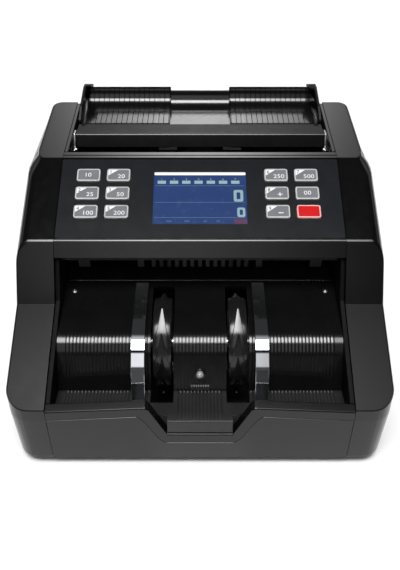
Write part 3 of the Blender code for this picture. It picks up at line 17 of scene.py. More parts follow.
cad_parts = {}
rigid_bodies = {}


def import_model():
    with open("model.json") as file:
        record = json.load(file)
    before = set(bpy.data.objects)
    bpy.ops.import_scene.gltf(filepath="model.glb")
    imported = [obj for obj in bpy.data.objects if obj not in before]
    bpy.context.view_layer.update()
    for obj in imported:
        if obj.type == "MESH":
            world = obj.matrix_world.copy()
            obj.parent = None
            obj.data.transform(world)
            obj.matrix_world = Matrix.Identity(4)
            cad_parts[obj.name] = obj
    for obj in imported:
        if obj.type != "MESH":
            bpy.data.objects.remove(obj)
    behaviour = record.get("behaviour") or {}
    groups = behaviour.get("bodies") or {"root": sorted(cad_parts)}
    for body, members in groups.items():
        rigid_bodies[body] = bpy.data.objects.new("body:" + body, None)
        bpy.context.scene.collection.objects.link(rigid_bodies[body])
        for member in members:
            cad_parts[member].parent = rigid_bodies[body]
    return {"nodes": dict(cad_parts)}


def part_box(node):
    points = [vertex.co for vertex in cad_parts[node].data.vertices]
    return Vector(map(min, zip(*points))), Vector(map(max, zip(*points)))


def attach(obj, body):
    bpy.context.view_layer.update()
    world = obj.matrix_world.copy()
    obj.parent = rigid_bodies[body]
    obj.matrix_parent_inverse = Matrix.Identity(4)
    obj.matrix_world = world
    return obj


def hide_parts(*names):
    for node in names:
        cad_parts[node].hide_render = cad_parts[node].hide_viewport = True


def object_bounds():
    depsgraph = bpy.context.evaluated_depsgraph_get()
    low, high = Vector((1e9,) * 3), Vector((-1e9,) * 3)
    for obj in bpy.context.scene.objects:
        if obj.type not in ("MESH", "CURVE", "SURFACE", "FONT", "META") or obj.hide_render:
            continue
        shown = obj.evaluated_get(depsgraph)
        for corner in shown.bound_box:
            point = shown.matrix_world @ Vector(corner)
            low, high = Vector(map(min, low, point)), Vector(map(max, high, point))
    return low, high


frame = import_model()
CAD_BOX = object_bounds()

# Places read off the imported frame
FRONT_Y = CAD_BOX[0][1]
HALF_WIDTH = CAD_BOX[1][0]
DEPTH = CAD_BOX[1][1] - FRONT_Y
TOP = CAD_BOX[1][2]


def limits(node):
    """Lowest and highest corners of a node, as x, depth and height."""
    low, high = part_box(node)
    shift = Vector((0, FRONT_Y, 0))
    return low - shift, high - shift


BAY_HALF, _, GROUND_GAP = limits("right_side_housing")[0]
_, BODY_DEPTH, DECK_REAR = limits("right_side_housing")[1]
SPAN_HALF = limits("stacker_plate")[1].x
FIT = 0.0003
SIDES = ((-1, "left"), (1, "right"))

# Housing side view, as runs to the rear and rises above the underside
FRONT_TUCK = 0.002
CREASE_HEIGHT = GROUND_GAP + 0.0414
FRONT_HEIGHT = GROUND_GAP + 0.0514
ARM = Vector((0.072, FRONT_HEIGHT + 0.0405))
PANEL_FRONT = ARM + Vector((0.024, 0.0415))
PANEL_REAR = PANEL_FRONT + Vector((0.068, 0.0372))
SIDE_WALL = 0.0025
LEAN_UP = 0.006
DECK_STEP = 0.006
DECK_STEP_RISE = 0.01
LEAN_DOWN = 0.045
OUTLINE = [
    (FRONT_TUCK, GROUND_GAP),
    (0.0, CREASE_HEIGHT),
    (0.0, FRONT_HEIGHT),
    ARM,
    PANEL_FRONT,
    PANEL_REAR,
    (BODY_DEPTH, DECK_REAR),
    (BODY_DEPTH, CREASE_HEIGHT),
    (BODY_DEPTH - FRONT_TUCK, GROUND_GAP),
]
EDGE_RADII = [0.017, 0.017, 0.0014, 0.0014, 0.010, 0.0035, 0.012, 0.012, 0.0014]
CORNER_RADII = [0.0015, 0.004, 0.0016, 0.0012, 0.008, 0.002, 0.0025, 0.004, 0.0015]
CORNER_STEPS = 4
PANEL_SHARES = (0.68, 0.76, 0.82, 0.87, 0.92, 0.96)
DECK_SHARES = (0.1, 0.3)
PANEL_RUN = PANEL_REAR - PANEL_FRONT
PANEL_UP = PANEL_RUN.normalized()
PANEL_OUT = PANEL_UP.orthogonal()
DECK_FALL = (Vector((BODY_DEPTH, DECK_REAR)) - PANEL_REAR).normalized()
DECK_LIP_SHORT = 0.003

# Front panel
PANEL_THICK = 0.0065
RAIL_HEIGHT = FRONT_HEIGHT + 0.004
RAIL_ROUND = 0.0018
RAIL_DROP = 0.0018
RAIL_RISE = 0.0012
RAIL_STEEPEST = radians(30)
SMALL_ROUND = 0.0012
NOTCH_TOP = 0.036
NOTCH_BOTTOM = 0.024
NOTCH_HEIGHT = FRONT_HEIGHT - 0.023
NOTCH_ROUND = 0.004
CREASE_LOW = NOTCH_HEIGHT - 0.010
CREASE_BEND = (0.0245, 0.0465)
CREASE_DROP = 0.01
GROOVE = 0.0005

# Control panel: v runs up the slope from its front edge, w out of it
SKIN_DROP = 0.0012
SKIN_THICK = 0.0028
LIP_LENGTH = 0.0126
LEDGE_LENGTH = 0.0092
LEDGE_DROP = 0.008
LIP_ROUND = 0.011
SEAM = 0.0004
SEAM_PLACE = 0.003
SEAM_DEPTH = 0.0009
OVERLAY_THICK = 0.0009
OVERLAY_MARGIN = 0.003
OVERLAY_TOP = PANEL_RUN.length - OVERLAY_MARGIN / 2
OVERLAY_CORNER = 0.0015
KEY_WIDTH = 0.0186
KEY_TALL = 0.0117
KEY_CORNER = 0.0022
KEY_PROUD = 0.0014
KEY_EDGE = 0.0006
KEY_RIM_WIDTH = 0.0012
KEY_SINK = 0.00015
KEY_FLANGE = 0.001
KEY_PITCH = Vector((0.0238, 0.0170))
KEY_MIDDLES = {"left": (0.0345 - BAY_HALF, 0.043), "right": (BAY_HALF - 0.0388, 0.043)}
KEYS = [
    (f"{block}_{row}{column}", x + (column - 1.5) * KEY_PITCH.x, v - (row - 2) * KEY_PITCH.y)
    for block, (x, v) in KEY_MIDDLES.items()
    for row in (1, 2, 3)
    for column in (1, 2)
]
KEY_HOLE_GAP = 0.0004
PRINT = 0.00006
CORNER_FIGURE = 0.003
CORNER_PLACE = (-0.33 * KEY_WIDTH, 0.22 * KEY_TALL)
FACE_FIGURE = 0.0036
FACE_STRETCH = 1.15
FACE_SHIFT = 0.12
MINUS = (0.0038, 0.0008, 0.0002)
SCREEN_WIDTH = 0.0734
SCREEN_TALL = 0.049
SCREEN_V = 0.0398
SCREEN_CORNER = 0.0006
SCREEN_FACE = -0.0013
SCREEN_BORDER = 0.006
SCREEN_MODULE = 0.0028

# What the screen shows, as (width, tall, x, fall from its top)
MARK_CORNER = 0.0001
TITLE_BAR = (SCREEN_WIDTH - 0.0006, 0.0027, 0.0, 0.0016)
TITLE_CORNER = 0.0012
BOXES = [(0.0066, 0.0029, -0.0303 + 0.00972 * i, 0.0097) for i in range(7)]
BOX_FIGURE = 0.0015
BOX_FIGURE_FALL = 0.0068
DIVIDERS = [(SCREEN_WIDTH - 0.003, 0.0003, 0.0, fall) for fall in (0.0131, 0.0286, 0.0425)]
NOUGHTS = [(0.0075, 0.0109, 0.0302, 0.0225), (0.0062, 0.0086, 0.0320, 0.0377)]
NOUGHT_CORNER = 0.0018
NOUGHT_STROKE = 0.3
FOOT_FIGURES = [("000", -0.024), ("000", -0.010), ("00", 0.004), ("00", 0.014)]
FOOT_FIGURE = 0.0017
FOOT_FALL = 0.0458
FOOT_TILE = (0.0098, 0.0046, 0.0314, 0.0460)

# Stacker
PLATE_KNEE = Vector((ARM.x - 0.0140, ARM.y - 0.0135))
PLATE_FALL = 0.049
PLATE_SLOPE = radians(12)
PLATE_BEND = 0.022
PLATE_END = radians(67)
PLATE_THICK = 0.0025
PLATE_BROW = 0.001
PLATE_BROW_SLOPE = radians(52)
RIB_PITCH = 0.00266
RIB_HEIGHT = 0.00016
RIBBED_HALF = 0.1012
WHEEL_X = 0.0285
WHEEL_HALF = 0.0068
WHEEL_TIP_HALF = 0.0005
WHEEL_RADIUS = 0.04
WHEEL_HUB = 0.013
WHEEL_BORE = 0.0045
WHEEL_AXIS = Vector((ARM.x, ARM.y - 0.0375))
FIN_COUNT = 12
FIN_TIP = radians(11)
FIN_TAPER = radians(46)
FIN_LEAN = radians(25)
FIN_FOLLOW = radians(2)
FIN_ROOT = radians(60)
FIN_CURL = 1.3
FIN_STEEPEST = radians(65)
FIN_STEP = radians(3)
FIN_THICK = 0.0017
FIN_TIP_SHARE = 0.45
FIN_CROWN = 0.06
FIN_EDGE = 0.0004
SLOT_GAP = 0.0018
FLOOR_HEIGHT = FRONT_HEIGHT - 0.0103
FLOOR_FALL = 0.0012
FLOOR_LENGTH = 0.0345
FLOOR_THICK = 0.0025
FLOOR_SLOT = 0.019
FLOOR_RIB = 0.0004
FLOOR_RIBS_FROM = (0.011, 0.0125)
RIB_END = 0.0012
RIB_END_RISE = 0.0007
LIP_SETBACK = 0.0008
LIP_FALL = 0.0012
TAB_HALF = 0.0071
TAB_RISE = 0.0043
TAB_THICK = 0.0007
TAB_PITCH = RIB_PITCH / 1.5
STRIP_X = 0.046
STRIP_WIDTH = 0.01
STRIP_THICK = 0.0008
STRIP_KNEE = Vector((ARM.x - 0.012, ARM.y - 0.0079))
STRIP_LENGTH = 0.043
STRIP_SLOPE = radians(8.5)
STRIP_BEND = 0.042
STRIP_END = radians(66)
SENSOR_RADIUS = 0.0033
SENSOR_RIM = 0.0008
LAMP_RADIUS = 0.0029
SENSOR_COLLAR = 0.0012
SENSOR_FALL = 0.0127
SCREW_PLACE = (0.0997, 0.0963)
SCREW_RADIUS = 0.0022

# Hopper
SCOOP_THICK = 0.0025
SCOOP_FRONT = PANEL_REAR + Vector((0.035, -0.0167))
SCOOP_KNEE = SCOOP_FRONT + Vector((0.037, 0.015))
SCOOP_CORNER = Vector((DEPTH - SCOOP_THICK, SCOOP_KNEE.y + 0.0053))
SCOOP_TOP = SCOOP_CORNER + Vector((0.0, 0.0147))
SCOOP_BEND = 0.016
SCOOP_ARC_RUN = 0.018
SCOOP_KNEE_BEND = 0.02
SCOOP_RIB_PITCH = 0.0047
SCOOP_PAD = 0.0014
SCOOP_RIB = 0.0006
SCOOP_GROOVE = 0.12
SCOOP_DIP = 2
SCOOP_PLAIN = 0.027
SCOOP_SLOT = (0.0182, 0.0378)
SCOOP_SLOT_END = 0.0135
BAR_FOOT = PANEL_REAR + Vector((0.034, -0.0055))
BAR_FACE = Vector((0.004, 0.0101))
BAR_TOP = Vector((0.020, 0.0006))
BAR_THICK = 0.0025
BAR_ROUND = 0.0022
BRACKET_THICK = 0.0012
BRACKET_INSET = 0.003
PIN_PLACE = BAR_FOOT + Vector((-0.003, -0.0012))
PIN_RADIUS = 0.0014
PIN_TAB = 0.002
PIN_END = 0.0022
CHEEK_THICK = 0.0024
CHEEK_LENGTH = 0.052
CHEEK_CROWN = 0.012
CHEEK_SHOULDER = 0.007
CHEEK_BROW = 0.015
CHEEK_DROP = 0.009
CHEEK_ROUND = 0.006
CHEEK_LEAN = 0.2
CHEEK_LEAN_FROM = TOP - 0.0115
CHEEK_FLARE = 0.0018
CHEEK_FLARE_RUN = 0.004
KNOB_THICK = 0.0085
KNOB_HEIGHT = 0.008
KNOB_LENGTH = 0.01

# Mains inlet
INLET_SETBACK = 0.003
INLET_PIN_LENGTH = 0.0118
INLET_PIN_PITCH = 0.007
INLET_PIN_HALF = (0.001, 0.002)

# Camera that matches the photograph
CAMERA_PLACE = (0, FRONT_Y - 0.3264, GROUND_GAP + 0.3942)
CAMERA_TILT = radians(54.5)
CAMERA_LENS = 41.4


def node_tree(name):
    made = bpy.data.materials.new(name)
    made.use_nodes = True
    return made, made.node_tree, made.node_tree.nodes["Principled BSDF"]


def plug(socket, value):
    """Links a socket to another socket, or sets it to a plain value."""
    if isinstance(value, bpy.types.NodeSocket):
        socket.id_data.links.new(value, socket)
    else:
        socket.default_value = value


def node(tree, kind, settings=(), **sockets):
    """A new shader node with its settings and sockets filled in."""
    made = tree.nodes.new("ShaderNode" + kind)
    for name, value in settings:
        setattr(made, name, value)
    for name, value in sockets.items():
        plug(made.inputs[name.replace("_", " ")], value)
    return made


def noise(tree, scale, detail=3.0, stretch=(1, 1, 1)):
    """A noise texture in object space, stretched along the axes."""
    place = node(tree, "TexCoord").outputs["Object"]
    shape = node(tree, "Mapping", Vector=place, Scale=stretch).outputs["Vector"]
    return node(tree, "TexNoise", Vector=shape, Scale=scale, Detail=detail).outputs["Fac"]


def spread(tree, source, low, high):
    """Maps a texture onto a range of values."""
    made = node(tree, "MapRange", Value=source, From_Min=0.3, From_Max=0.7, To_Min=low, To_Max=high)
    return made.outputs["Result"]


def two_tone(tree, source, dark, light):
    """A colour between two, chosen by a texture."""
    share = spread(tree, source, 0.0, 1.0)
    made = node(tree, "Mix", [("data_type", "RGBA")], Factor=share, A=(*dark, 1), B=(*light, 1))
    return made.outputs["Result"]


def tint(value):
    """A colour, or a grey from one number."""
    return (value,) * 3 if isinstance(value, float) else value


def finish(name, dark, light, rough, grain, metallic=0.0, stretch=(1, 1, 1), shine=0.5, coat=0.0):
    """A finish with mottled colour, uneven roughness and a fine grain of (scale, depth)."""
    made, tree, shader = node_tree(name)
    bumps = noise(tree, grain[0], 2, stretch)
    sockets = {
        "Base Color": two_tone(tree, noise(tree, 60), tint(dark), tint(light)),
        "Roughness": spread(tree, noise(tree, 140, 4, stretch), *rough),
        "Normal": node(tree, "Bump", Height=bumps, Distance=grain[1]).outputs["Normal"],
        "Metallic": metallic,
        "Specular IOR Level": shine,
        "Coat Weight": coat,
    }
    for socket, value in sockets.items():
        plug(shader.inputs[socket], value)
    return made


HOUSING = finish("satin_black", 0.0030, 0.0038, (0.11, 0.15), (1400, 4e-6))
PANEL = finish("panel_black", 0.0030, 0.0038, (0.11, 0.15), (1400, 4e-6), shine=0.42)
GRAINED = finish("grained_black", 0.003, 0.004, (0.28, 0.34), (1500, 3e-5), shine=0.12)
GLOSS = finish("gloss_black_moulding", 0.004, 0.006, (0.14, 0.19), (500, 1e-6))
MATT = finish("matt_black_moulding", 0.012, 0.015, (0.42, 0.50), (900, 6e-6))
RIBBED = finish("ribbed_black", 0.004, 0.005, (0.14, 0.18), (500, 1e-6))
INNER = finish("inner_black", 0.003, 0.004, (0.50, 0.60), (900, 6e-6), shine=0.08)
FILM = finish(
    "overlay_film_blue_black", (0.0085, 0.0092, 0.0115), (0.0098, 0.0106, 0.0132),
    (0.22, 0.26), (2500, 1e-6), shine=0.28,
)
COMB = finish("comb_black", 0.006, 0.009, (0.22, 0.30), (900, 3e-6), shine=0.16)
CHROME = finish(
    "bright_spring_steel", (0.70, 0.72, 0.76), (0.76, 0.78, 0.82),
    (0.03, 0.05), (400, 5e-8), 0.987, (8, 1, 1),
)
STEEL = finish("ground_steel", 0.52, 0.62, (0.22, 0.34), (700, 2e-6), 1.0, (1, 12, 12))
DARK_STEEL = finish("blackened_steel", 0.03, 0.05, (0.34, 0.48), (600, 3e-6), 0.6)
SOFT = finish("moulded_rubber", 0.008, 0.011, (0.17, 0.23), (800, 2e-6))
RUBBER = finish("foot_rubber", 0.012, 0.02, (0.6, 0.75), (900, 1e-5))
BELT = finish("belt_rubber", 0.015, 0.025, (0.55, 0.7), (1200, 1e-5))
ROLLER = finish("roller_rubber", 0.006, 0.009, (0.5, 0.65), (1000, 8e-6), shine=0.2)
BRASS = finish("sintered_bronze", (0.36, 0.24, 0.10), (0.45, 0.31, 0.14), (0.35, 0.5), (900, 6e-6), 1.0)
BOARD = finish("circuit_board", (0.01, 0.07, 0.03), (0.015, 0.10, 0.045), (0.35, 0.5), (700, 4e-6))
WINDING = finish("transformer_varnish", (0.06, 0.04, 0.025), (0.09, 0.06, 0.035), (0.4, 0.6), (500, 1e-5))
CAN = finish("motor_can", 0.30, 0.38, (0.3, 0.42), (600, 3e-6), 1.0)
SOCKET = finish("socket_plastic", 0.010, 0.014, (0.36, 0.46), (900, 6e-6))
ROCKER = finish("rocker_plastic", 0.012, 0.018, (0.22, 0.32), (900, 3e-6))
LENS = finish("lamp_lens", 0.26, 0.32, (0.10, 0.16), (600, 1e-6), coat=0.4)
KEY_SHINE = 0.15
KEY_RIM = finish("key_silver_rim", 0.50, 0.57, (0.26, 0.36), (1500, 2e-6), shine=KEY_SHINE)
KEY_FACE = finish(
    "key_grey_face", (0.165, 0.171, 0.19), (0.185, 0.191, 0.21), (0.34, 0.44), (1800, 3e-6), shine=KEY_SHINE,
)
KEY_RED = finish(
    "key_red_face", (0.54, 0.003, 0.005), (0.60, 0.005, 0.008), (0.30, 0.40), (1800, 3e-6), shine=KEY_SHINE,
)
KEY_PINK = finish(
    "key_pale_red_rim", (0.80, 0.40, 0.38), (0.86, 0.48, 0.46), (0.28, 0.38), (1800, 3e-6), shine=KEY_SHINE,
)
WHITE = finish("white_print", 0.80, 0.88, (0.35, 0.45), (2000, 2e-6))
DARK_PRINT = finish("dark_print", 0.03, 0.05, (0.4, 0.5), (2000, 2e-6))


def glow(made, colour, strength):
    """Lets a finish shine by itself in a colour or a texture."""
    shader = made.node_tree.nodes["Principled BSDF"]
    plug(shader.inputs["Emission Color"], colour)
    shader.inputs["Emission Strength"].default_value = strength


def lit(name, dark, light):
    """A glowing finish, for the screen and what it shows."""
    dark, light = tint(dark), tint(light)
    tones = [tuple(c * 0.1 for c in tone) for tone in (dark, light)]
    made = finish(name, *tones, (0.2, 0.3), (2200, 1e-6), shine=0.15)
    tree = made.node_tree
    glow(made, two_tone(tree, noise(tree, 45, 2), dark, light), 1.0)
    return made


SCREEN = lit("screen_blue", (0.022, 0.049, 0.160), (0.025, 0.054, 0.172))
SCREEN_WHITE = lit("screen_white", 0.90, 0.95)
SCREEN_PALE = lit("screen_pale", (0.28, 0.42, 0.45), (0.32, 0.46, 0.49))
SCREEN_LINE = lit("screen_line", (0.10, 0.17, 0.30), (0.12, 0.20, 0.34))
SCREEN_TILE = lit("screen_tile", (0.10, 0.045, 0.10), (0.13, 0.055, 0.12))
COVER_IOR = 1.2


def clear_cover():
    """A clear film that only shows where it mirrors the light."""
    made, tree, shader = node_tree("clear_cover")
    shader.inputs["Base Color"].default_value = (0, 0, 0, 1)
    plug(shader.inputs["Roughness"], spread(tree, noise(tree, 300), 0.06, 0.10))
    mixed = node(tree, "MixShader", Fac=node(tree, "Fresnel", IOR=COVER_IOR).outputs["Fac"])
    for socket, source in zip(mixed.inputs[1:], (node(tree, "BsdfTransparent"), shader)):
        plug(socket, source.outputs[0])
    plug(tree.nodes["Material Output"].inputs["Surface"], mixed.outputs[0])
    return made


COVER = clear_cover()


def add(name, shape, look, nodes=(), body="body", slot=None, bevel=0.0, angle=35, paint=None):
    """One visible piece from (points, faces) that rides a body and stands for CAD nodes."""
    points, faces = shape
    mesh = bpy.data.meshes.new(name)
    mesh.from_pydata([Vector(p) + Vector((0, FRONT_Y, 0)) for p in points], [], faces)
    for material in look if isinstance(look, list) else [look]:
        mesh.materials.append(material)
    if paint:
        mesh.polygons.foreach_set("material_index", paint)
    work = bmesh.new()
    work.from_mesh(mesh)
    bmesh.ops.recalc_face_normals(work, faces=work.faces)
    work.to_mesh(mesh)
    work.free()
    mesh.shade_smooth()
    mesh.set_sharp_from_angle(angle=radians(angle))
    piece = bpy.data.objects.new(name, mesh)
    bpy.context.scene.collection.objects.link(piece)
    if bevel:
        soften(piece, bevel)
    piece.modifiers.new("normals", "WEIGHTED_NORMAL").keep_sharp = True
    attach(piece, body)
    if nodes:
        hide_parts(*nodes)


def dress(name, shape, look, slot, **more):
    """A finer piece that stands for one CAD node."""
    add("fine_" + name, shape, look, [name], slot=slot, **more)


def soften(piece, width):
    """Breaks the sharp edges of a piece."""
    edge = piece.modifiers.new("edges", "BEVEL")
    edge.width = width
    edge.segments = 2
    edge.limit_method = "ANGLE"
    edge.angle_limit = radians(40)


def joined(shapes):
    points, faces = [], []
    for more_points, more_faces in shapes:
        faces += [tuple(len(points) + i for i in face) for face in more_faces]
        points += list(more_points)
    return points, faces


def loft(rings, looped=False):
    """A skin over rings of equal count, closed at both ends or looped."""
    count = len(rings[0])
    points = [p for ring in rings for p in ring]
    faces = []
    for r in range(len(rings) if looped else len(rings) - 1):
        a, b = r * count, (r + 1) % len(rings) * count
        faces += [(a + i, a + (i + 1) % count, b + (i + 1) % count, b + i) for i in range(count)]
    if not looped:
        faces.append(tuple(range(count)))
        faces.append(tuple(range((len(rings) - 1) * count, len(rings) * count)))
    return points, faces


def prism(outline, x0, x1):
    return loft([[(x, d, h) for d, h in outline] for x in (x0, x1)])


def turned(profile, centre, axis=(1, 0, 0), looped=False, steps=48):
    """A solid of revolution from (place along the axis, radius) pairs."""
    axis = Vector(axis).normalized()
    first = axis.orthogonal().normalized()
    second = axis.cross(first)
    turns = [2 * pi * i / steps for i in range(steps)]
    spokes = [first * cos(a) + second * sin(a) for a in turns]
    rings = []
    for along, radius in profile:
        rings.append([Vector(centre) + axis * along + spoke * radius for spoke in spokes])
    return loft(rings, looped)


def meeting(one, other):
    (p, d), (q, e) = one, other
    return p + d * ((q - p).cross(e) / d.cross(e))


def offset_outline(outline, insets):
    """Moves each edge of a clockwise outline inwards by its own distance."""
    lines = []
    for i, start in enumerate(outline):
        start = Vector(start)
        run = (Vector(outline[(i + 1) % len(outline)]) - start).normalized()
        lines.append((start - run.orthogonal() * insets[i], run))
    return [meeting(lines[i - 1], lines[i]) for i in range(len(lines))]


def offset_path(path, distance):
    """An open path moved to its right, by normals averaged at its corners."""
    runs = [(Vector(b) - Vector(a)).normalized() for a, b in zip(path, path[1:])]
    points = []
    for i, point in enumerate(path):
        run = (runs[max(i - 1, 0)] + runs[min(i, len(runs) - 1)]).normalized()
        points.append(Vector(point) - run.orthogonal() * distance)
    return points


def even(start, end, count):
    return [start + (end - start) * i / count for i in range(count + 1)]


def heading(angle):
    return Vector((cos(angle), sin(angle)))


def bow(start, corner, end, steps):
    """A curve from start to end, drawn towards a corner."""
    return [start * (1 - t) ** 2 + corner * (2 * t * (1 - t)) + end * t**2 for t in even(0.0, 1.0, steps)]


def rounded(before, corner, after, radius, steps):
    """A corner as a curve tangent to both its sides, limited to half of each."""
    corner = Vector(corner)
    one, other = Vector(before) - corner, Vector(after) - corner
    reach = min(radius / tan(one.angle(other) / 2), one.length * 0.48, other.length * 0.48)
    return bow(corner + one.normalized() * reach, corner, corner + other.normalized() * reach, steps)


def rounded_outline(outline, radius, steps=5):
    radii = radius if isinstance(radius, list) else [radius] * len(outline)
    points = []
    for i, corner in enumerate(outline):
        points += rounded(outline[i - 1], corner, outline[(i + 1) % len(outline)], radii[i], steps)
    return points


def rounded_rectangle(width, tall, radius, x, v):
    left, right, low, high = x - width / 2, x + width / 2, v - tall / 2, v + tall / 2
    return rounded_outline([(left, low), (left, high), (right, high), (right, low)], radius)


def nothing(*place):
    return 0.0


def sheet(columns, outer, inner, is_open=nothing, rib=nothing, pad=nothing):
    """A bent sheet between two side view paths.

    is_open(x, segment) leaves holes, and rib(x, row) and pad(x) raise its outer face.
    """
    rows = len(outer)
    points = []
    for x in columns:
        for j, (o, b) in enumerate(zip(outer, inner)):
            d, h = o + (o - b).normalized() * rib(x, j)
            points.append((x, d, h + pad(x)))
    back = len(points)
    points += [(x, d, h) for x in columns for d, h in inner]
    solid = {
        (i, j)
        for i in range(len(columns) - 1)
        for j in range(rows - 1)
        if not is_open((columns[i] + columns[i + 1]) / 2, j)
    }
    faces = []
    for i, j in sorted(solid):
        a, b, c, d = i * rows + j, i * rows + j + 1, (i + 1) * rows + j + 1, (i + 1) * rows + j
        faces += [(a, b, c, d), (back + d, back + c, back + b, back + a)]
        for p, q, beside in ((a, b, (i - 1, j)), (c, d, (i + 1, j)), (d, a, (i, j - 1)), (b, c, (i, j + 1))):
            if beside not in solid:
                faces.append((q, p, back + p, back + q))
    used = sorted({k for face in faces for k in face})
    place = {k: n for n, k in enumerate(used)}
    return [points[k] for k in used], [tuple(place[k] for k in face) for face in faces]


def grid(values):
    """Sorted values with near repeats dropped."""
    lines = []
    for value in sorted(values):
        if not lines or value - lines[-1] > FIT / 3:
            lines.append(value)
    return lines


def between(x, table):
    """A value read off straight lines between (place, value) pairs."""
    return float(numpy.interp(x, *zip(*sorted(table))))


def housing_ring(side, x, wall):
    """The side view at x, drawn in towards the outer face to round the long edges."""
    from_face = HALF_WIDTH - wall - x
    insets = []
    for radius in EDGE_RADII:
        bend = max(radius - wall, FIT)
        past = min(max(bend - from_face, 0.0), bend)
        insets.append(wall + bend - sqrt(bend**2 - past**2))
    ring = []
    side_view = rounded_outline(offset_outline(OUTLINE, insets), CORNER_RADII, CORNER_STEPS)
    rear = OUTLINE.index(PANEL_REAR)
    for edge, shares in ((rear + 1, DECK_SHARES), (rear, PANEL_SHARES)):
        last = edge * (CORNER_STEPS + 1)
        start, end = side_view[last - 1], side_view[last]
        side_view[last:last] = [start.lerp(end, share) for share in shares]
    for d, h in side_view:
        lean = LEAN_UP * max(h - ARM.y, 0.0) + LEAN_DOWN * max(CREASE_HEIGHT - h, 0.0)
        lean += DECK_STEP * smoothstep(PANEL_REAR.y - DECK_STEP_RISE, PANEL_REAR.y, h)
        reach = (x - BAY_HALF) / (HALF_WIDTH - BAY_HALF)
        ring.append((side * (x - lean * reach), d, h))
    return ring


def side_housings():
    """Two moulded covers with rounded edges and arms of a coarser grain."""
    turns = [sin(radians(angle)) for angle in (0, 15, 30, 45, 58, 70, 80, 90)]
    rounds = [HALF_WIDTH - r * (1 - t) for r in set(EDGE_RADII) for t in turns]
    skin = grid([BAY_HALF, BAY_HALF + FIT] + rounds)
    hollow = [HALF_WIDTH - SIDE_WALL, HALF_WIDTH - 3 * SIDE_WALL, BAY_HALF]
    first = (CORNER_STEPS + 1) * OUTLINE.index(ARM)
    arm = range(first - 1 - CORNER_STEPS // 2, first + 2)
    for side, hand in SIDES:
        rings = [housing_ring(side, x, SIDE_WALL) for x in hollow]
        rings += [housing_ring(side, x, 0.0) for x in skin]
        shape = loft(rings)
        count = len(rings[0])
        walls = count * (len(rings) - 1)
        paint = [int(i < walls and i % count in arm) for i in range(len(shape[1]))]
        dress(hand + "_side_housing", shape, [HOUSING, GRAINED], "black_plastic", angle=28, paint=paint)


def deck_lips():
    """The housings' inner edges, which reach over the frame plates beside the hopper."""
    start = PANEL_REAR + DECK_FALL * (LEDGE_LENGTH + 2 * FIT)
    end = start + DECK_FALL * (BODY_DEPTH - start.x - DECK_LIP_SHORT)
    drop = Vector((0.0, -SIDE_WALL))
    outline = [start + drop, start, end, end + drop]
    for side, hand in SIDES:
        shape = prism(outline, side * (SPAN_HALF + FIT), side * (BAY_HALF - FIT / 3))
        add(hand + "_deck_lip", shape, HOUSING, bevel=0.0006)


def panel_place(v, w):
    """Depth and height of a place on the control panel."""
    return tuple(PANEL_FRONT + PANEL_UP * v + PANEL_OUT * w)


def on_panel(levels):
    """Rings on the control panel from pairs of an (x, v) outline and its w."""
    return [[(x, *panel_place(v, w)) for x, v in outline] for outline, w in levels]


def tile(width, tall, radius, x, v, low, high):
    """A flat plate with rounded corners on the control panel."""
    outline = rounded_rectangle(width, tall, radius, x, v)
    return loft(on_panel([(outline, low), (outline, high)]))


def figures(text, tall, x, v, w, stretch=1.0):
    """Plain figures printed on the control panel, their middle at (x, v)."""
    curve = bpy.data.curves.new("figures", "FONT")
    curve.body = text
    curve.extrude = PRINT
    curve.resolution_u = 4
    holder = bpy.data.objects.new("figures", curve)
    mesh = bpy.data.meshes.new_from_object(holder)
    corners = numpy.array([p.co for p in mesh.vertices])
    faces = [tuple(f.vertices) for f in mesh.polygons]
    bpy.data.batch_remove([holder, curve, mesh])
    low, high = corners.min(axis=0), corners.max(axis=0)
    size = tall / (high[1] - low[1])
    places = (corners - (low + high) / 2) * (size * stretch, size, 1.0)
    points = [(x + across, *panel_place(v + up, w + out)) for across, up, out in places.tolist()]
    return points, faces


def painted(parts):
    """One shape from (shape, look) pairs, with its looks and each face's place among them."""
    looks = list(dict.fromkeys(look for _, look in parts))
    paint = [looks.index(look) for (_, faces), look in parts for _ in faces]
    return joined([shape for shape, _ in parts]), looks, paint


def front_panel():
    """The front wall: a rail with a finger notch, and a groove that swings down under it."""
    half = BAY_HALF - FIT
    start = Vector((half, FRONT_HEIGHT))
    corner = Vector((NOTCH_TOP + RAIL_ROUND, RAIL_HEIGHT))
    foot = Vector((NOTCH_BOTTOM, NOTCH_HEIGHT))
    tops = [(p.x, p.y) for p in [start] + rounded(start, corner, foot, NOTCH_ROUND, 8) + [foot]]
    creases = [(CREASE_BEND[1], RAIL_HEIGHT - CREASE_DROP), (half, CREASE_HEIGHT)]
    places = grid([x for x, _ in tops] + even(*CREASE_BEND, 18) + even(CREASE_BEND[1], half, 6))
    rings = []
    for x in [-x for x in reversed(places)] + places:
        top = between(abs(x), tops)
        crease = CREASE_LOW + (between(abs(x), creases) - CREASE_LOW) * smoothstep(*CREASE_BEND, abs(x))
        side = [(FRONT_TUCK, GROUND_GAP), (FIT, crease - GROOVE)]
        side += [(2 * GROOVE, crease), (0.0, crease + GROOVE)]
        front, back = (0.0, top - RAIL_DROP), (PANEL_THICK, top + RAIL_RISE)
        side += rounded((0.0, crease), front, back, RAIL_ROUND, 6)
        side += rounded(front, back, (PANEL_THICK, GROUND_GAP), SMALL_ROUND / 2, 3)
        side += [(PANEL_THICK, CREASE_LOW), (FRONT_TUCK + PANEL_THICK, GROUND_GAP)]
        rings.append([(x, d, h) for d, h in side])
    points, faces = loft(rings)
    levels = [abs(normal([Vector(points[k]) for k in face]).z) for face in faces]
    paint = [int(level > cos(RAIL_STEEPEST)) for level in levels]
    dress("front_panel", (points, faces), [HOUSING, GRAINED], "black_plastic", angle=40, paint=paint)


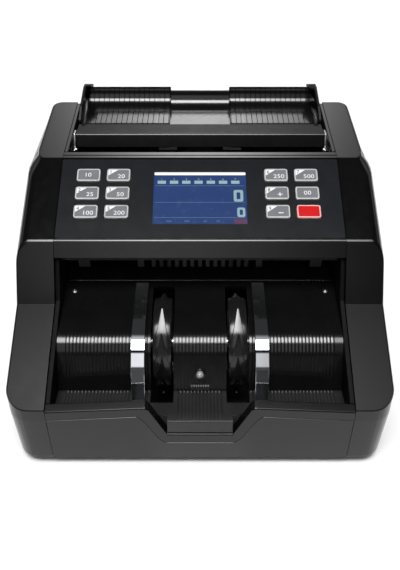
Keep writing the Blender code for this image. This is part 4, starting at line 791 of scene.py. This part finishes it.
def openings(clearance):
    """Holes through the control panel as (width, tall, corner, x, v)."""
    size = (KEY_WIDTH + 2 * clearance, KEY_TALL + 2 * clearance, KEY_CORNER + clearance)
    holes = [(*size, x, v) for _, x, v in KEYS]
    return holes + [(SCREEN_WIDTH, SCREEN_TALL, SCREEN_CORNER, 0.0, SCREEN_V)]


def control_housing():
    """The sloping cover, from its rounded lip to a ledge that turns down to the feed gap."""
    front, rear = PANEL_FRONT + Vector((FIT, 0.0)), PANEL_REAR
    lip = front + (ARM - PANEL_FRONT).normalized() * LIP_LENGTH
    ledge = rear + DECK_FALL * LEDGE_LENGTH
    tail = ledge + Vector((0.0, -LEDGE_DROP))
    end = rounded(rear, ledge, tail, SMALL_ROUND, 4) + [tail]
    holes = [(x - w / 2, x + w / 2, v - t / 2, v + t / 2) for w, t, _, x, v in openings(FIT)]
    low, high = OVERLAY_MARGIN - SEAM, OVERLAY_TOP + SEAM
    rows = [low] + grid([v for hole in holes for v in hole[2:]]) + [high]
    slope = [Vector(panel_place(v, -SKIN_DROP)) for v in rows]
    brow, crown = Vector(panel_place(low, 0.0)), Vector(panel_place(high, 0.0))
    outer = [lip] + rounded(lip, front, brow, LIP_ROUND, 10) + [brow] + slope
    first = len(outer) - len(slope)
    outer += [crown] + rounded(crown, rear, ledge, SMALL_ROUND, 4)
    seam = [rear + DECK_FALL * (SEAM_PLACE + SEAM * i) for i in range(4)]
    sunk = [p - DECK_FALL.orthogonal() * SEAM_DEPTH for p in seam[1:3]]
    inner = offset_path(outer + seam + end, SKIN_THICK)
    outer += [seam[0], *sunk, seam[3]] + end

    def is_open(x, segment):
        row = segment - first
        if segment == len(outer) - 2:
            return abs(x) > SPAN_HALF
        if not 0 <= row < len(rows) - 1:
            return False
        v = (rows[row] + rows[row + 1]) / 2
        return any(x0 < x < x1 and v0 < v < v1 for x0, x1, v0, v1 in holes)

    half = BAY_HALF - FIT
    columns = grid([-half, half, -SPAN_HALF, SPAN_HALF] + [x for hole in holes for x in hole[:2]])
    shape = sheet(columns, outer, inner, is_open)
    add("fine_control_housing", shape, PANEL, ["control_panel_housing"], slot="black_plastic", angle=25)


def pierced(outline, holes, low, high):
    """A flat plate on the control panel with rounded holes."""
    rings = [outline] + holes
    fill = tessellate_polygon([[(x, v, 0.0) for x, v in ring] for ring in rings])
    edges, total = [], 0
    for ring in rings:
        count = len(ring)
        edges += [(total + i, total + (i + 1) % count) for i in range(count)]
        total += count
    points = [(x, *panel_place(v, w)) for w in (high, low) for ring in rings for x, v in ring]
    faces = [tuple(face) for face in fill]
    faces += [tuple(total + i for i in reversed(face)) for face in fill]
    faces += [(b, a, total + a, total + b) for a, b in edges]
    return points, faces


def overlay():
    """The printed film over the control panel, with holes for the keys and the screen."""
    width, tall = 2 * (BAY_HALF - 2 * FIT), OVERLAY_TOP - OVERLAY_MARGIN
    middle = (OVERLAY_MARGIN + OVERLAY_TOP) / 2
    outline = rounded_rectangle(width, tall, OVERLAY_CORNER, 0.0, middle)
    holes = [rounded_rectangle(*hole) for hole in openings(KEY_HOLE_GAP)]
    shape = pierced(outline, holes, -OVERLAY_THICK, 0.0)
    add("fine_overlay", shape, FILM, ["panel_overlay"], slot="overlay_film", angle=30)


# Small figures in the keys' white corners and larger ones below, by key, with a dot for none
CORNER_FIGURES = ". 1 2 3 4 5 6 7 8 . 9 .".split()
FACE_FIGURES = "10 20 25 50 100 200 250 500 + 00 - .".split()


def key_corner(x, v, w):
    """The white corner of a key's face."""
    wide, tall = KEY_WIDTH / 2 - KEY_RIM_WIDTH, KEY_TALL / 2 - KEY_RIM_WIDTH
    corners = [(x - wide, v - 0.15 * tall), (x - wide, v + tall), (x - 0.05 * wide, v + tall)]
    outline = rounded_outline(corners, [0.0002, KEY_CORNER - KEY_RIM_WIDTH, 0.0002], 4)
    return loft(on_panel([(outline, w - PRINT), (outline, w + PRINT)]))


def keys():
    """Twelve keys with a raised pale rim round a sunken face."""
    under = SKIN_DROP + SKIN_THICK + FIT
    sunk = KEY_PROUD - KEY_SINK
    for (name, x, v), corner_text, text in zip(KEYS, CORNER_FIGURES, FACE_FIGURES):

        def ring(inset, w):
            corner = max(KEY_CORNER - inset, 0.0005)
            return rounded_rectangle(KEY_WIDTH - 2 * inset, KEY_TALL - 2 * inset, corner, x, v), w

        levels = [
            ring(-KEY_FLANGE, -under - KEY_FLANGE), ring(-KEY_FLANGE, -under), ring(0.0, -under),
            ring(0.0, KEY_PROUD - KEY_EDGE), ring(0.3 * KEY_EDGE, KEY_PROUD - 0.3 * KEY_EDGE),
            ring(KEY_EDGE, KEY_PROUD),
            ring(KEY_RIM_WIDTH - 0.0001, KEY_PROUD), ring(KEY_RIM_WIDTH, sunk),
        ]
        cap = loft(on_panel(levels))
        red = name == "right_32"
        parts = [(cap, KEY_PINK if red else KEY_RIM)]
        shift = 0.0
        if corner_text != ".":
            shift = FACE_SHIFT
            place = (x + CORNER_PLACE[0], v + CORNER_PLACE[1])
            parts.append((key_corner(x, v, sunk), WHITE))
            parts.append((figures(corner_text, CORNER_FIGURE, *place, sunk + 2 * PRINT), DARK_PRINT))
        place = (x + KEY_WIDTH * shift, v - KEY_TALL * shift)
        if text == "-":
            parts.append((tile(*MINUS, *place, sunk - PRINT, sunk + PRINT), WHITE))
        elif text != ".":
            parts.append((figures(text, FACE_FIGURE, *place, sunk + PRINT, FACE_STRETCH), WHITE))
        shape, looks, paint = painted(parts)
        paint[len(cap[1]) - 1] = len(looks)
        looks.append(KEY_RED if red else KEY_FACE)
        slot = "key_red" if red else "key_grey"
        dress("key_" + name, shape, looks, slot, body="button_" + name, paint=paint)


def display():
    """The lit screen behind clear film: a white bar, seven boxes, two counts and dividing lines."""
    deep = SKIN_DROP + SKIN_THICK + FIT
    top = SCREEN_V + SCREEN_TALL / 2
    high = SCREEN_FACE + 2 * PRINT

    def plate(extra, corner, low, upper):
        return tile(SCREEN_WIDTH + extra, SCREEN_TALL + extra, corner, 0.0, SCREEN_V, low, upper)

    parts = [
        (plate(SCREEN_BORDER, FIT, -deep - SCREEN_MODULE, -deep), DARK_PRINT),
        (plate(-FIT, SCREEN_CORNER, -deep, SCREEN_FACE), SCREEN),
    ]

    def mark(look, width, tall, x, fall, corner=MARK_CORNER):
        parts.append((tile(width, tall, corner, x, top - fall, SCREEN_FACE, high), look))

    mark(SCREEN_WHITE, *TITLE_BAR, TITLE_CORNER)
    for i, box in enumerate(BOXES):
        mark(SCREEN_PALE, *box)
        number = figures(str(i + 1), BOX_FIGURE, box[2], top - BOX_FIGURE_FALL, high, 1.2)
        parts.append((number, SCREEN_PALE))
    for line in DIVIDERS:
        mark(SCREEN_LINE, *line)
    for width, tall, x, fall in NOUGHTS:
        strokes = 2 * NOUGHT_STROKE * width
        outer = rounded_rectangle(width, tall, NOUGHT_CORNER, x, top - fall)
        inner = rounded_rectangle(width - strokes, tall - strokes, NOUGHT_CORNER / 2, x, top - fall)
        parts.append((pierced(outer, [inner], SCREEN_FACE, high), SCREEN_PALE))
    for text, x in FOOT_FIGURES:
        parts.append((figures(text, FOOT_FIGURE, x, top - FOOT_FALL, high, 1.1), SCREEN_LINE))
    mark(SCREEN_TILE, *FOOT_TILE)
    shape, looks, paint = painted(parts)
    dress("display_module", shape, looks, "display_blue", paint=paint)
    cover = plate(-FIT, SCREEN_CORNER, -OVERLAY_THICK, -FIT)
    dress("display_window", cover, COVER, "clear_window")


def bent_path(top_depth, knee, slope, radius, end, foot, steps=26):
    """The stacker's fall: a slope from the rear, a bend and a steep run down to the floor."""
    path = [Vector((top_depth, knee.y + (top_depth - knee.x) * tan(slope)))]
    for angle in even(slope, end, steps):
        out = sin(angle) - sin(slope)
        path.append(knee - Vector((radius * out, radius * (cos(slope) - cos(angle)))))
    last = path[-1]
    return path + [Vector((last.x - (last.y - foot) / tan(end), foot))]


def rib_columns(half, pitch, edges):
    """Column places across a ribbed sheet, seven to each rib, and its edges and slots."""
    count = int(half / pitch)
    shares = (0.0, 0.06, 0.22, 0.4, 0.6, 0.78, 0.94)
    places = [(i + share) * pitch for i in range(-count, count) for share in shares] + [count * pitch]
    clear = [x for x in places if all(abs(x - edge) > FIT for edge in edges)]
    return grid(clear + list(edges))


def crest(x, half, pitch, height):
    """Height of a low round rib at x."""
    count = int(half / pitch)
    if abs(x) >= count * pitch:
        return 0.0
    u = 2 * ((x / pitch) % 1.0) - 1
    return height * (1 - u * u)


def floor_height(depth):
    return FLOOR_HEIGHT - FLOOR_FALL * depth / FLOOR_LENGTH


PLATE_PATH = bent_path(
    PLATE_KNEE.x + PLATE_FALL, PLATE_KNEE, PLATE_SLOPE, PLATE_BEND, PLATE_END,
    FLOOR_HEIGHT - FLOOR_FALL + 4 * FIT,
)
PLATE_FOOT = PLATE_PATH[-1]
SLOT = (WHEEL_X - WHEEL_HALF - SLOT_GAP, WHEEL_X + WHEEL_HALF + SLOT_GAP)


def stacker_plate():
    """The finely ribbed fall that notes lean on, slotted for the wheels."""
    top, bend = PLATE_PATH[:2]
    run = (top - bend).normalized()
    away = bend - WHEEL_AXIS
    reach = WHEEL_RADIUS + SLOT_GAP + PLATE_THICK
    along = -away.dot(run) + sqrt(away.dot(run) ** 2 - away.length_squared + reach**2)
    brow = top + PLATE_BROW * heading(PLATE_BROW_SLOPE)
    path = [brow, top, bend + run * along] + PLATE_PATH[1:]
    edges = [s * x for s in (-1, 1) for x in SLOT] + [-SPAN_HALF, SPAN_HALF]

    def is_open(x, segment):
        return segment > 1 and SLOT[0] < abs(x) < SLOT[1]

    def rib(x, row):
        return crest(x, RIBBED_HALF, RIB_PITCH, RIB_HEIGHT)

    columns = rib_columns(RIBBED_HALF, RIB_PITCH, edges)
    shape = sheet(columns, path, offset_path(path, -PLATE_THICK), is_open, rib)
    dress("stacker_plate", shape, RIBBED, "gloss_black", angle=60)


def floor_tab():
    """A short ribbed tab that stands up from the floor against the plate's foot."""
    rise = heading(PLATE_END)
    outward = rise.orthogonal()
    back = [PLATE_FOOT + outward * 2 * FIT + rise * t for t in (0.0, TAB_RISE - RIB_END, TAB_RISE)]
    front = [b + outward * t for b, t in zip(back, (TAB_THICK, TAB_THICK, FIT))]
    columns = rib_columns(TAB_HALF, TAB_PITCH, [-TAB_HALF, TAB_HALF])

    def rib(x, row):
        return crest(x, TAB_HALF, TAB_PITCH, FLOOR_RIB) if row else 0.0

    return sheet(columns, front[::-1], back[::-1], rib=rib)


def stacker_floor():
    """The pocket's floor: ribbed, with a tongue and front lip that fill the notch."""
    tongue = NOTCH_BOTTOM - FIT
    start = PANEL_THICK + FIT
    low = Vector((LIP_SETBACK, NOTCH_HEIGHT + FIT))
    corner = Vector((LIP_SETBACK, FLOOR_HEIGHT - LIP_FALL))
    rear = PLATE_FOOT.x - PLATE_THICK / 2
    depths = [start, *FLOOR_RIBS_FROM, FLOOR_SLOT, rear - RIB_END, rear, FLOOR_LENGTH]
    after = [Vector((d, floor_height(d))) for d in depths]
    outer = [low] + rounded(low, corner, after[0], SMALL_ROUND, 5) + after
    first = len(outer) - len(after)

    def is_open(x, segment):
        depth = (outer[segment].x + outer[segment + 1].x) / 2
        return depth < start and abs(x) > tongue or depth > FLOOR_SLOT and SLOT[0] < abs(x) < SLOT[1]

    def rib(x, row):
        ribbed = row >= first + 2 and abs(x) > SLOT[1] or row >= first and abs(x) < 0.7 * tongue
        height = FLOOR_RIB + (RIB_END_RISE if row == first + 5 else 0.0)
        return crest(x, RIBBED_HALF, RIB_PITCH, height) if ribbed and row < first + 6 else 0.0

    edges = [s * x for s in (-1, 1) for x in (*SLOT, tongue, SPAN_HALF)]
    columns = rib_columns(RIBBED_HALF, RIB_PITCH, edges)
    shape = joined([sheet(columns, outer, offset_path(outer, FLOOR_THICK), is_open, rib), floor_tab()])
    dress("stacker_floor", shape, MATT, "gloss_black", angle=20)


def guide_strips():
    """Two bright spring strips that bow over the plate."""
    foot = floor_height(FLOOR_LENGTH) + 3 * FIT
    top = STRIP_KNEE.x + STRIP_LENGTH
    path = bent_path(top, STRIP_KNEE, STRIP_SLOPE, STRIP_BEND, STRIP_END, foot, 40)
    for side, hand in SIDES:
        columns = [side * STRIP_X - STRIP_WIDTH / 2, side * STRIP_X + STRIP_WIDTH / 2]
        shape = sheet(columns, path, offset_path(path, -STRIP_THICK))
        dress(hand + "_guide_strip", shape, CHROME, "bright_strip", bevel=0.00025)


def stacker_sensor():
    """A small pale lamp in a black collar, square on the plate."""
    outward = heading(PLATE_END).orthogonal()
    foot = PLATE_PATH[-2] - SENSOR_FALL * Vector((1 / tan(PLATE_END), 1.0))
    seat = RIB_HEIGHT + FIT
    wide = SENSOR_RADIUS + SENSOR_RIM
    rim = seat + SENSOR_RIM
    collar = [(seat, wide), (rim - 0.0002, wide), (rim, wide - FIT)]
    collar += [(rim, LAMP_RADIUS), (seat, LAMP_RADIUS)]
    narrow = LAMP_RADIUS - FIT / 3
    lamp = [(seat, narrow)]
    for angle in even(0.0, radians(84), 10):
        lamp.append((rim + SENSOR_COLLAR + LAMP_RADIUS * sin(angle), narrow * cos(angle)))
    centre, axis = (0, *foot), (0, *outward)
    ring, dome = turned(collar, centre, axis, True, 32), turned(lamp, centre, axis, False, 32)
    shape, looks, paint = painted([(ring, GLOSS), (dome, LENS)])
    dress("stacker_sensor", shape, looks, "sensor_lens", angle=40, paint=paint)


def plate_screws():
    """Two bright pan-head screws at the plate's upper corners."""
    x, depth = SCREW_PLACE
    outward = heading(PLATE_SLOPE).orthogonal()
    height = PLATE_KNEE.y + (depth - PLATE_KNEE.x) * tan(PLATE_SLOPE)
    shares = [(0.0, 1.0), (0.21, 1.0), (0.42, 0.85), (0.55, 0.5), (0.55, 0.3), (0.26, 0.2)]
    profile = [(SCREW_RADIUS * up, SCREW_RADIUS * out) for up, out in shares]
    for side, hand in SIDES:
        shape = turned(profile, (side * x, depth, height), axis=(0, *outward), steps=24)
        add(hand + "_plate_screw", shape, STEEL, angle=30)


def fin(tip, middle):
    """One fin of a stacker wheel: a straight tip, a run round the wheel and a curl in to the hub."""
    rings = []
    back, radius = 0.0, WHEEL_RADIUS
    while radius > WHEEL_HUB - FIN_THICK:
        spoke = heading(tip + back)
        from_tip = min(back / FIN_TAPER, 1.0)
        half = WHEEL_TIP_HALF + (WHEEL_HALF - WHEEL_TIP_HALF) * from_tip
        thick = FIN_THICK * (FIN_TIP_SHARE + (1 - FIN_TIP_SHARE) * from_tip)
        outer, inner = [], []
        for u in (-1.0, -0.86, -0.45, 0.0, 0.45, 0.86, 1.0):
            edge = FIN_EDGE if abs(u) == 1 else 0.0
            crown = radius - FIN_CROWN * half * u * u - edge
            outer.append((middle + u * half, *(WHEEL_AXIS + spoke * crown)))
            inner.append((middle + u * half, *(WHEEL_AXIS + spoke * (radius - FIN_CROWN * half - thick))))
        rings.append(outer + inner[::-1])
        slope = max(FIN_LEAN - back, FIN_FOLLOW) + FIN_CURL * max(back - FIN_ROOT, 0.0)
        radius -= radius * FIN_STEP * tan(min(slope, FIN_STEEPEST))
        back += FIN_STEP
    return loft(rings)


def stacker_wheels():
    """Two soft wheels whose long fins trail back from the hub to a pointed tip."""
    radii = [(-1, WHEEL_BORE), (-1, WHEEL_HUB), (1, WHEEL_HUB), (1, WHEEL_BORE)]
    hub = [(end * WHEEL_HALF, radius) for end, radius in radii]
    for side, hand in SIDES:
        middle = side * WHEEL_X
        shapes = [turned(hub, (middle, *WHEEL_AXIS), looped=True)]
        shapes += [fin(FIN_TIP + 2 * pi * i / FIN_COUNT, middle) for i in range(FIN_COUNT)]
        dress(hand + "_stacker_wheel", joined(shapes), SOFT, "wheel_rubber", body="stacker", angle=30)


def hopper_scoop():
    """The ribbed tray that the pile of notes lies in, smooth in the middle."""
    half = SPAN_HALF - CHEEK_THICK - FIT
    slot_end = SCOOP_FRONT + (SCOOP_KNEE - SCOOP_FRONT).normalized() * SCOOP_SLOT_END
    path = [SCOOP_FRONT, slot_end] + rounded(slot_end, SCOOP_KNEE, SCOOP_CORNER, SCOOP_KNEE_BEND, 6)
    start = SCOOP_CORNER + (SCOOP_KNEE - SCOOP_CORNER).normalized() * SCOOP_ARC_RUN
    path += bow(start, SCOOP_CORNER, SCOOP_TOP, 22)

    def is_open(x, segment):
        slotted = segment == 0 and SCOOP_SLOT[0] < abs(x) < SCOOP_SLOT[1]
        return slotted or segment >= len(path) - 1 - SCOOP_DIP and abs(x) < SCOOP_PLAIN

    def pad(x):
        return SCOOP_PAD if abs(x) > SCOOP_PLAIN + FIT else 0.0

    def rib(x, row):
        u = 2 * ((x / SCOOP_RIB_PITCH) % 1.0) - 1
        return SCOOP_RIB * min((1 - abs(u)) / SCOOP_GROOVE, 1.0) if pad(x) else 0.0

    edges = [s * x for s in (-1, 1) for x in (*SCOOP_SLOT, SCOOP_PLAIN, SCOOP_PLAIN + 2 * FIT, half)]
    inner = offset_path(path, SCOOP_THICK)
    shape = sheet(rib_columns(half, SCOOP_RIB_PITCH, edges), path, inner, is_open, rib, pad)
    dress("hopper_scoop", shape, RIBBED, "gloss_black", angle=60)


def hopper_cheeks():
    """Rounded end walls that stand above the tray on both sides."""
    front = DEPTH - CHEEK_LENGTH
    low = between(front, [tuple(SCOOP_FRONT), tuple(SCOOP_KNEE)]) - CHEEK_DROP / 2
    corners = [
        (front, low),
        (front, low + CHEEK_BROW),
        (front + CHEEK_CROWN, TOP - CHEEK_SHOULDER),
        (DEPTH - CHEEK_CROWN, TOP),
        (DEPTH, TOP),
        (DEPTH, SCOOP_CORNER.y - CHEEK_DROP / 2),
        (DEPTH - SCOOP_BEND, SCOOP_CORNER.y - CHEEK_DROP),
    ]
    for side, hand in SIDES:
        outer, inner = [], []
        for d, h in rounded_outline(corners, CHEEK_ROUND, 8):
            x = SPAN_HALF - CHEEK_LEAN * max(h - CHEEK_LEAN_FROM, 0.0)
            x += CHEEK_FLARE * smoothstep(BODY_DEPTH + FIT, BODY_DEPTH + CHEEK_FLARE_RUN, d)
            outer.append((side * x, d, h))
            knob = smoothstep(TOP - KNOB_HEIGHT, TOP - KNOB_HEIGHT / 2, h)
            knob *= smoothstep(DEPTH - KNOB_LENGTH, DEPTH - KNOB_LENGTH / 2, d)
            thick = CHEEK_THICK + (KNOB_THICK - CHEEK_THICK) * knob
            inner.append((side * (x - thick), d, h))
        shape = loft([inner, outer])
        dress(hand + "_hopper_cheek", shape, GRAINED, "gloss_black", bevel=0.0012, angle=30)


def hopper_bar():
    """The bent cover across the feed gap, with a steel bracket and pin at each end."""
    edge = BAR_FOOT + BAR_FACE
    path = [BAR_FOOT] + rounded(BAR_FOOT, edge, edge + BAR_TOP, BAR_ROUND, 6) + [edge + BAR_TOP]
    half = SPAN_HALF - 1.5 * BRACKET_THICK
    shape = sheet(even(-half, half, 8), path, offset_path(path, BAR_THICK))
    dress("hopper_bar", shape, HOUSING, "black_plastic", bevel=0.0003, angle=30)
    out = BAR_FACE.orthogonal().normalized()
    behind = edge + BAR_TOP * 0.4
    outline = [
        PIN_PLACE + Vector((-PIN_TAB, 0.0)),
        BAR_FOOT + out * PIN_TAB / 2,
        edge + out * FIT,
        behind + Vector((0, FIT)),
        behind - Vector((0, BRACKET_INSET)),
        BAR_FOOT + Vector((BRACKET_INSET, 0.0)),
        PIN_PLACE + Vector((0.0, -PIN_TAB)),
    ]
    profile = [(-PIN_END, 0.0), (-PIN_END, 0.7 * PIN_RADIUS)]
    profile += [(2 * FIT - PIN_END, PIN_RADIUS), (0.0, PIN_RADIUS)]
    for side, hand in SIDES:
        inner, outer = side * (SPAN_HALF - BRACKET_THICK), side * SPAN_HALF
        bracket = prism(rounded_outline(outline, 0.001, 4), inner, outer)
        pin = turned(profile, (inner, *PIN_PLACE), (side, 0, 0), steps=20)
        add(hand + "_bar_bracket", joined([bracket, pin]), STEEL, angle=30)


def inlet_pins():
    """Three flat pins in the mains inlet."""
    low, high = limits("power_inlet")
    middle = (low + high) / 2
    rear = BODY_DEPTH - INLET_SETBACK
    front = rear - INLET_PIN_LENGTH
    wide, tall = INLET_PIN_HALF
    shapes = []
    for pin in (-1, 0, 1):
        x = middle.x + pin * INLET_PIN_PITCH
        h = middle.z + (-tall if pin else tall)
        outline = [(front, h - tall), (front, h + tall), (rear, h + tall), (rear, h - tall)]
        shapes.append(prism(outline, x - wide, x + wide))
    add("inlet_pins", joined(shapes), BRASS, bevel=0.0003)


def studio():
    """A pale floor, a wrap of soft light with one bright band overhead, and the camera."""
    bpy.ops.mesh.primitive_plane_add(size=12)
    floor = bpy.context.object
    floor.name = "floor"
    matt_white = finish("studio_floor", 0.915, 0.925, (0.8, 0.9), (20, 1e-5), shine=0.1)
    glow(matt_white, (1, 1, 1, 1), FLOOR_GLOW)
    floor.data.materials.append(matt_white)
    scene = bpy.context.scene
    world = scene.world = bpy.data.worlds.new("studio")
    world.use_nodes = True
    light_wrap(world.node_tree)
    lens = bpy.data.cameras.new("camera")
    lens.lens = CAMERA_LENS
    lens.sensor_width = 36
    camera = bpy.data.objects.new("camera", lens)
    camera.location = CAMERA_PLACE
    camera.rotation_euler = (CAMERA_TILT, 0, 0)
    scene.collection.objects.link(camera)
    scene.camera = camera
    scene.view_settings.view_transform = "Standard"


def arithmetic(tree, operation, *values):
    made = node(tree, "Math", [("operation", operation)])
    for socket, value in zip(made.inputs, values):
        plug(socket, value)
    return made.outputs[0]


def band(tree, angle, low, high, soft):
    """One between two angles, in degrees from the rear over the top to the front."""
    edges = []
    for place in (low, high):
        start, end = radians(place - soft), radians(place + soft)
        smooth = [("interpolation_type", "SMOOTHSTEP")]
        edge = node(tree, "MapRange", smooth, Value=angle, From_Min=start, From_Max=end)
        edges.append(edge.outputs["Result"])
    return arithmetic(tree, "SUBTRACT", *edges)


def across(tree, x, middle, reach):
    """A soft fall to both sides of a middle, in sines of the angle to the side."""
    away = arithmetic(tree, "MULTIPLY", arithmetic(tree, "SUBTRACT", x, middle), 1 / reach)
    square = arithmetic(tree, "MULTIPLY", away, away)
    return arithmetic(tree, "EXPONENT", arithmetic(tree, "MULTIPLY", square, -1.0))


# Light by angle: from, to, softness in degrees, strength, and the middle and reach of its fall to the sides
LIGHTS = [
    (-200, 27, 4, 0.15, 0.0, 9.0),
    (-200, 27, 4, 0.45, 0.0, 0.14),
    (27, 45, 4, 0.42, 0.0, 9.0),
    (31, 45, 3, 5.2, 0.0, 0.14),
    (45, 92, 6, 0.025, 0.0, 9.0),
    (92, 100, 6, 0.7, -0.04, 0.25),
    (100, 120, 2, 22.0, -0.045, 0.25),
    (128, 157, 2, 1.1, -0.06, 0.22),
    (157, 164, 2, 0.07, 0.0, 9.0),
    (164, 200, 4, 0.08, -0.20, 0.35),
]
FLOOR_GLOW = 0.02


def light_wrap(tree):
    """The bands of light, with plain white in their place for the camera."""
    tree.nodes.clear()
    place = node(tree, "TexCoord").outputs["Generated"]
    parts = node(tree, "SeparateXYZ", Vector=place).outputs
    angle = arithmetic(tree, "ARCTAN2", parts["Z"], parts["Y"])
    total = 0.0
    for *edges, strength, middle, reach in LIGHTS:
        lit_band = arithmetic(tree, "MULTIPLY", band(tree, angle, *edges), strength)
        patch = arithmetic(tree, "MULTIPLY", lit_band, across(tree, parts["X"], middle, reach))
        total = arithmetic(tree, "ADD", total, patch)
    seen = node(tree, "LightPath").outputs["Is Camera Ray"]
    strength = node(tree, "Mix", Factor=seen, A=total, B=1.0).outputs["Result"]
    shine = node(tree, "Background", Color=(1, 1, 1, 1), Strength=strength)
    node(tree, "OutputWorld", Surface=shine.outputs[0])


# CAD nodes that keep their own shape, by finish
KEPT = {
    HOUSING: ["rear_cover"],
    INNER: ["left_frame_plate", "right_frame_plate"],
    COMB: ["exit_comb"],
    DARK_STEEL: ["base_pan", "drum_guide", "exit_guide"],
    STEEL: ["stacker_shaft", "drum_shaft", "motor_pulley"],
    RUBBER: ["retard_pad"] + [f"{a}_{b}_foot" for a in ("front", "rear") for b in ("left", "right")],
    BELT: ["motor_belt", "stacker_belt", "pickup_belt"],
    ROLLER: ["feed_drum", "pickup_roller_shaft", "pinch_roller_shaft"],
    BRASS: ["left_stacker_bush", "right_stacker_bush"],
    BOARD: ["main_board", "key_board"],
    WINDING: ["power_supply"],
    CAN: ["main_motor"],
    SOCKET: ["power_inlet", "switch_frame"],
    ROCKER: ["power_rocker"],
}
KEPT_EDGE = 0.0004


def dress_kept():
    for look, names in KEPT.items():
        for name in names:
            kept = frame["nodes"][name]
            kept.data.materials.clear()
            kept.data.materials.append(look)
            soften(kept, KEPT_EDGE)


side_housings()
deck_lips()
front_panel()
control_housing()
overlay()
keys()
display()
stacker_plate()
stacker_floor()
guide_strips()
stacker_sensor()
plate_screws()
stacker_wheels()
hopper_scoop()
hopper_cheeks()
hopper_bar()
inlet_pins()
dress_kept()
studio()
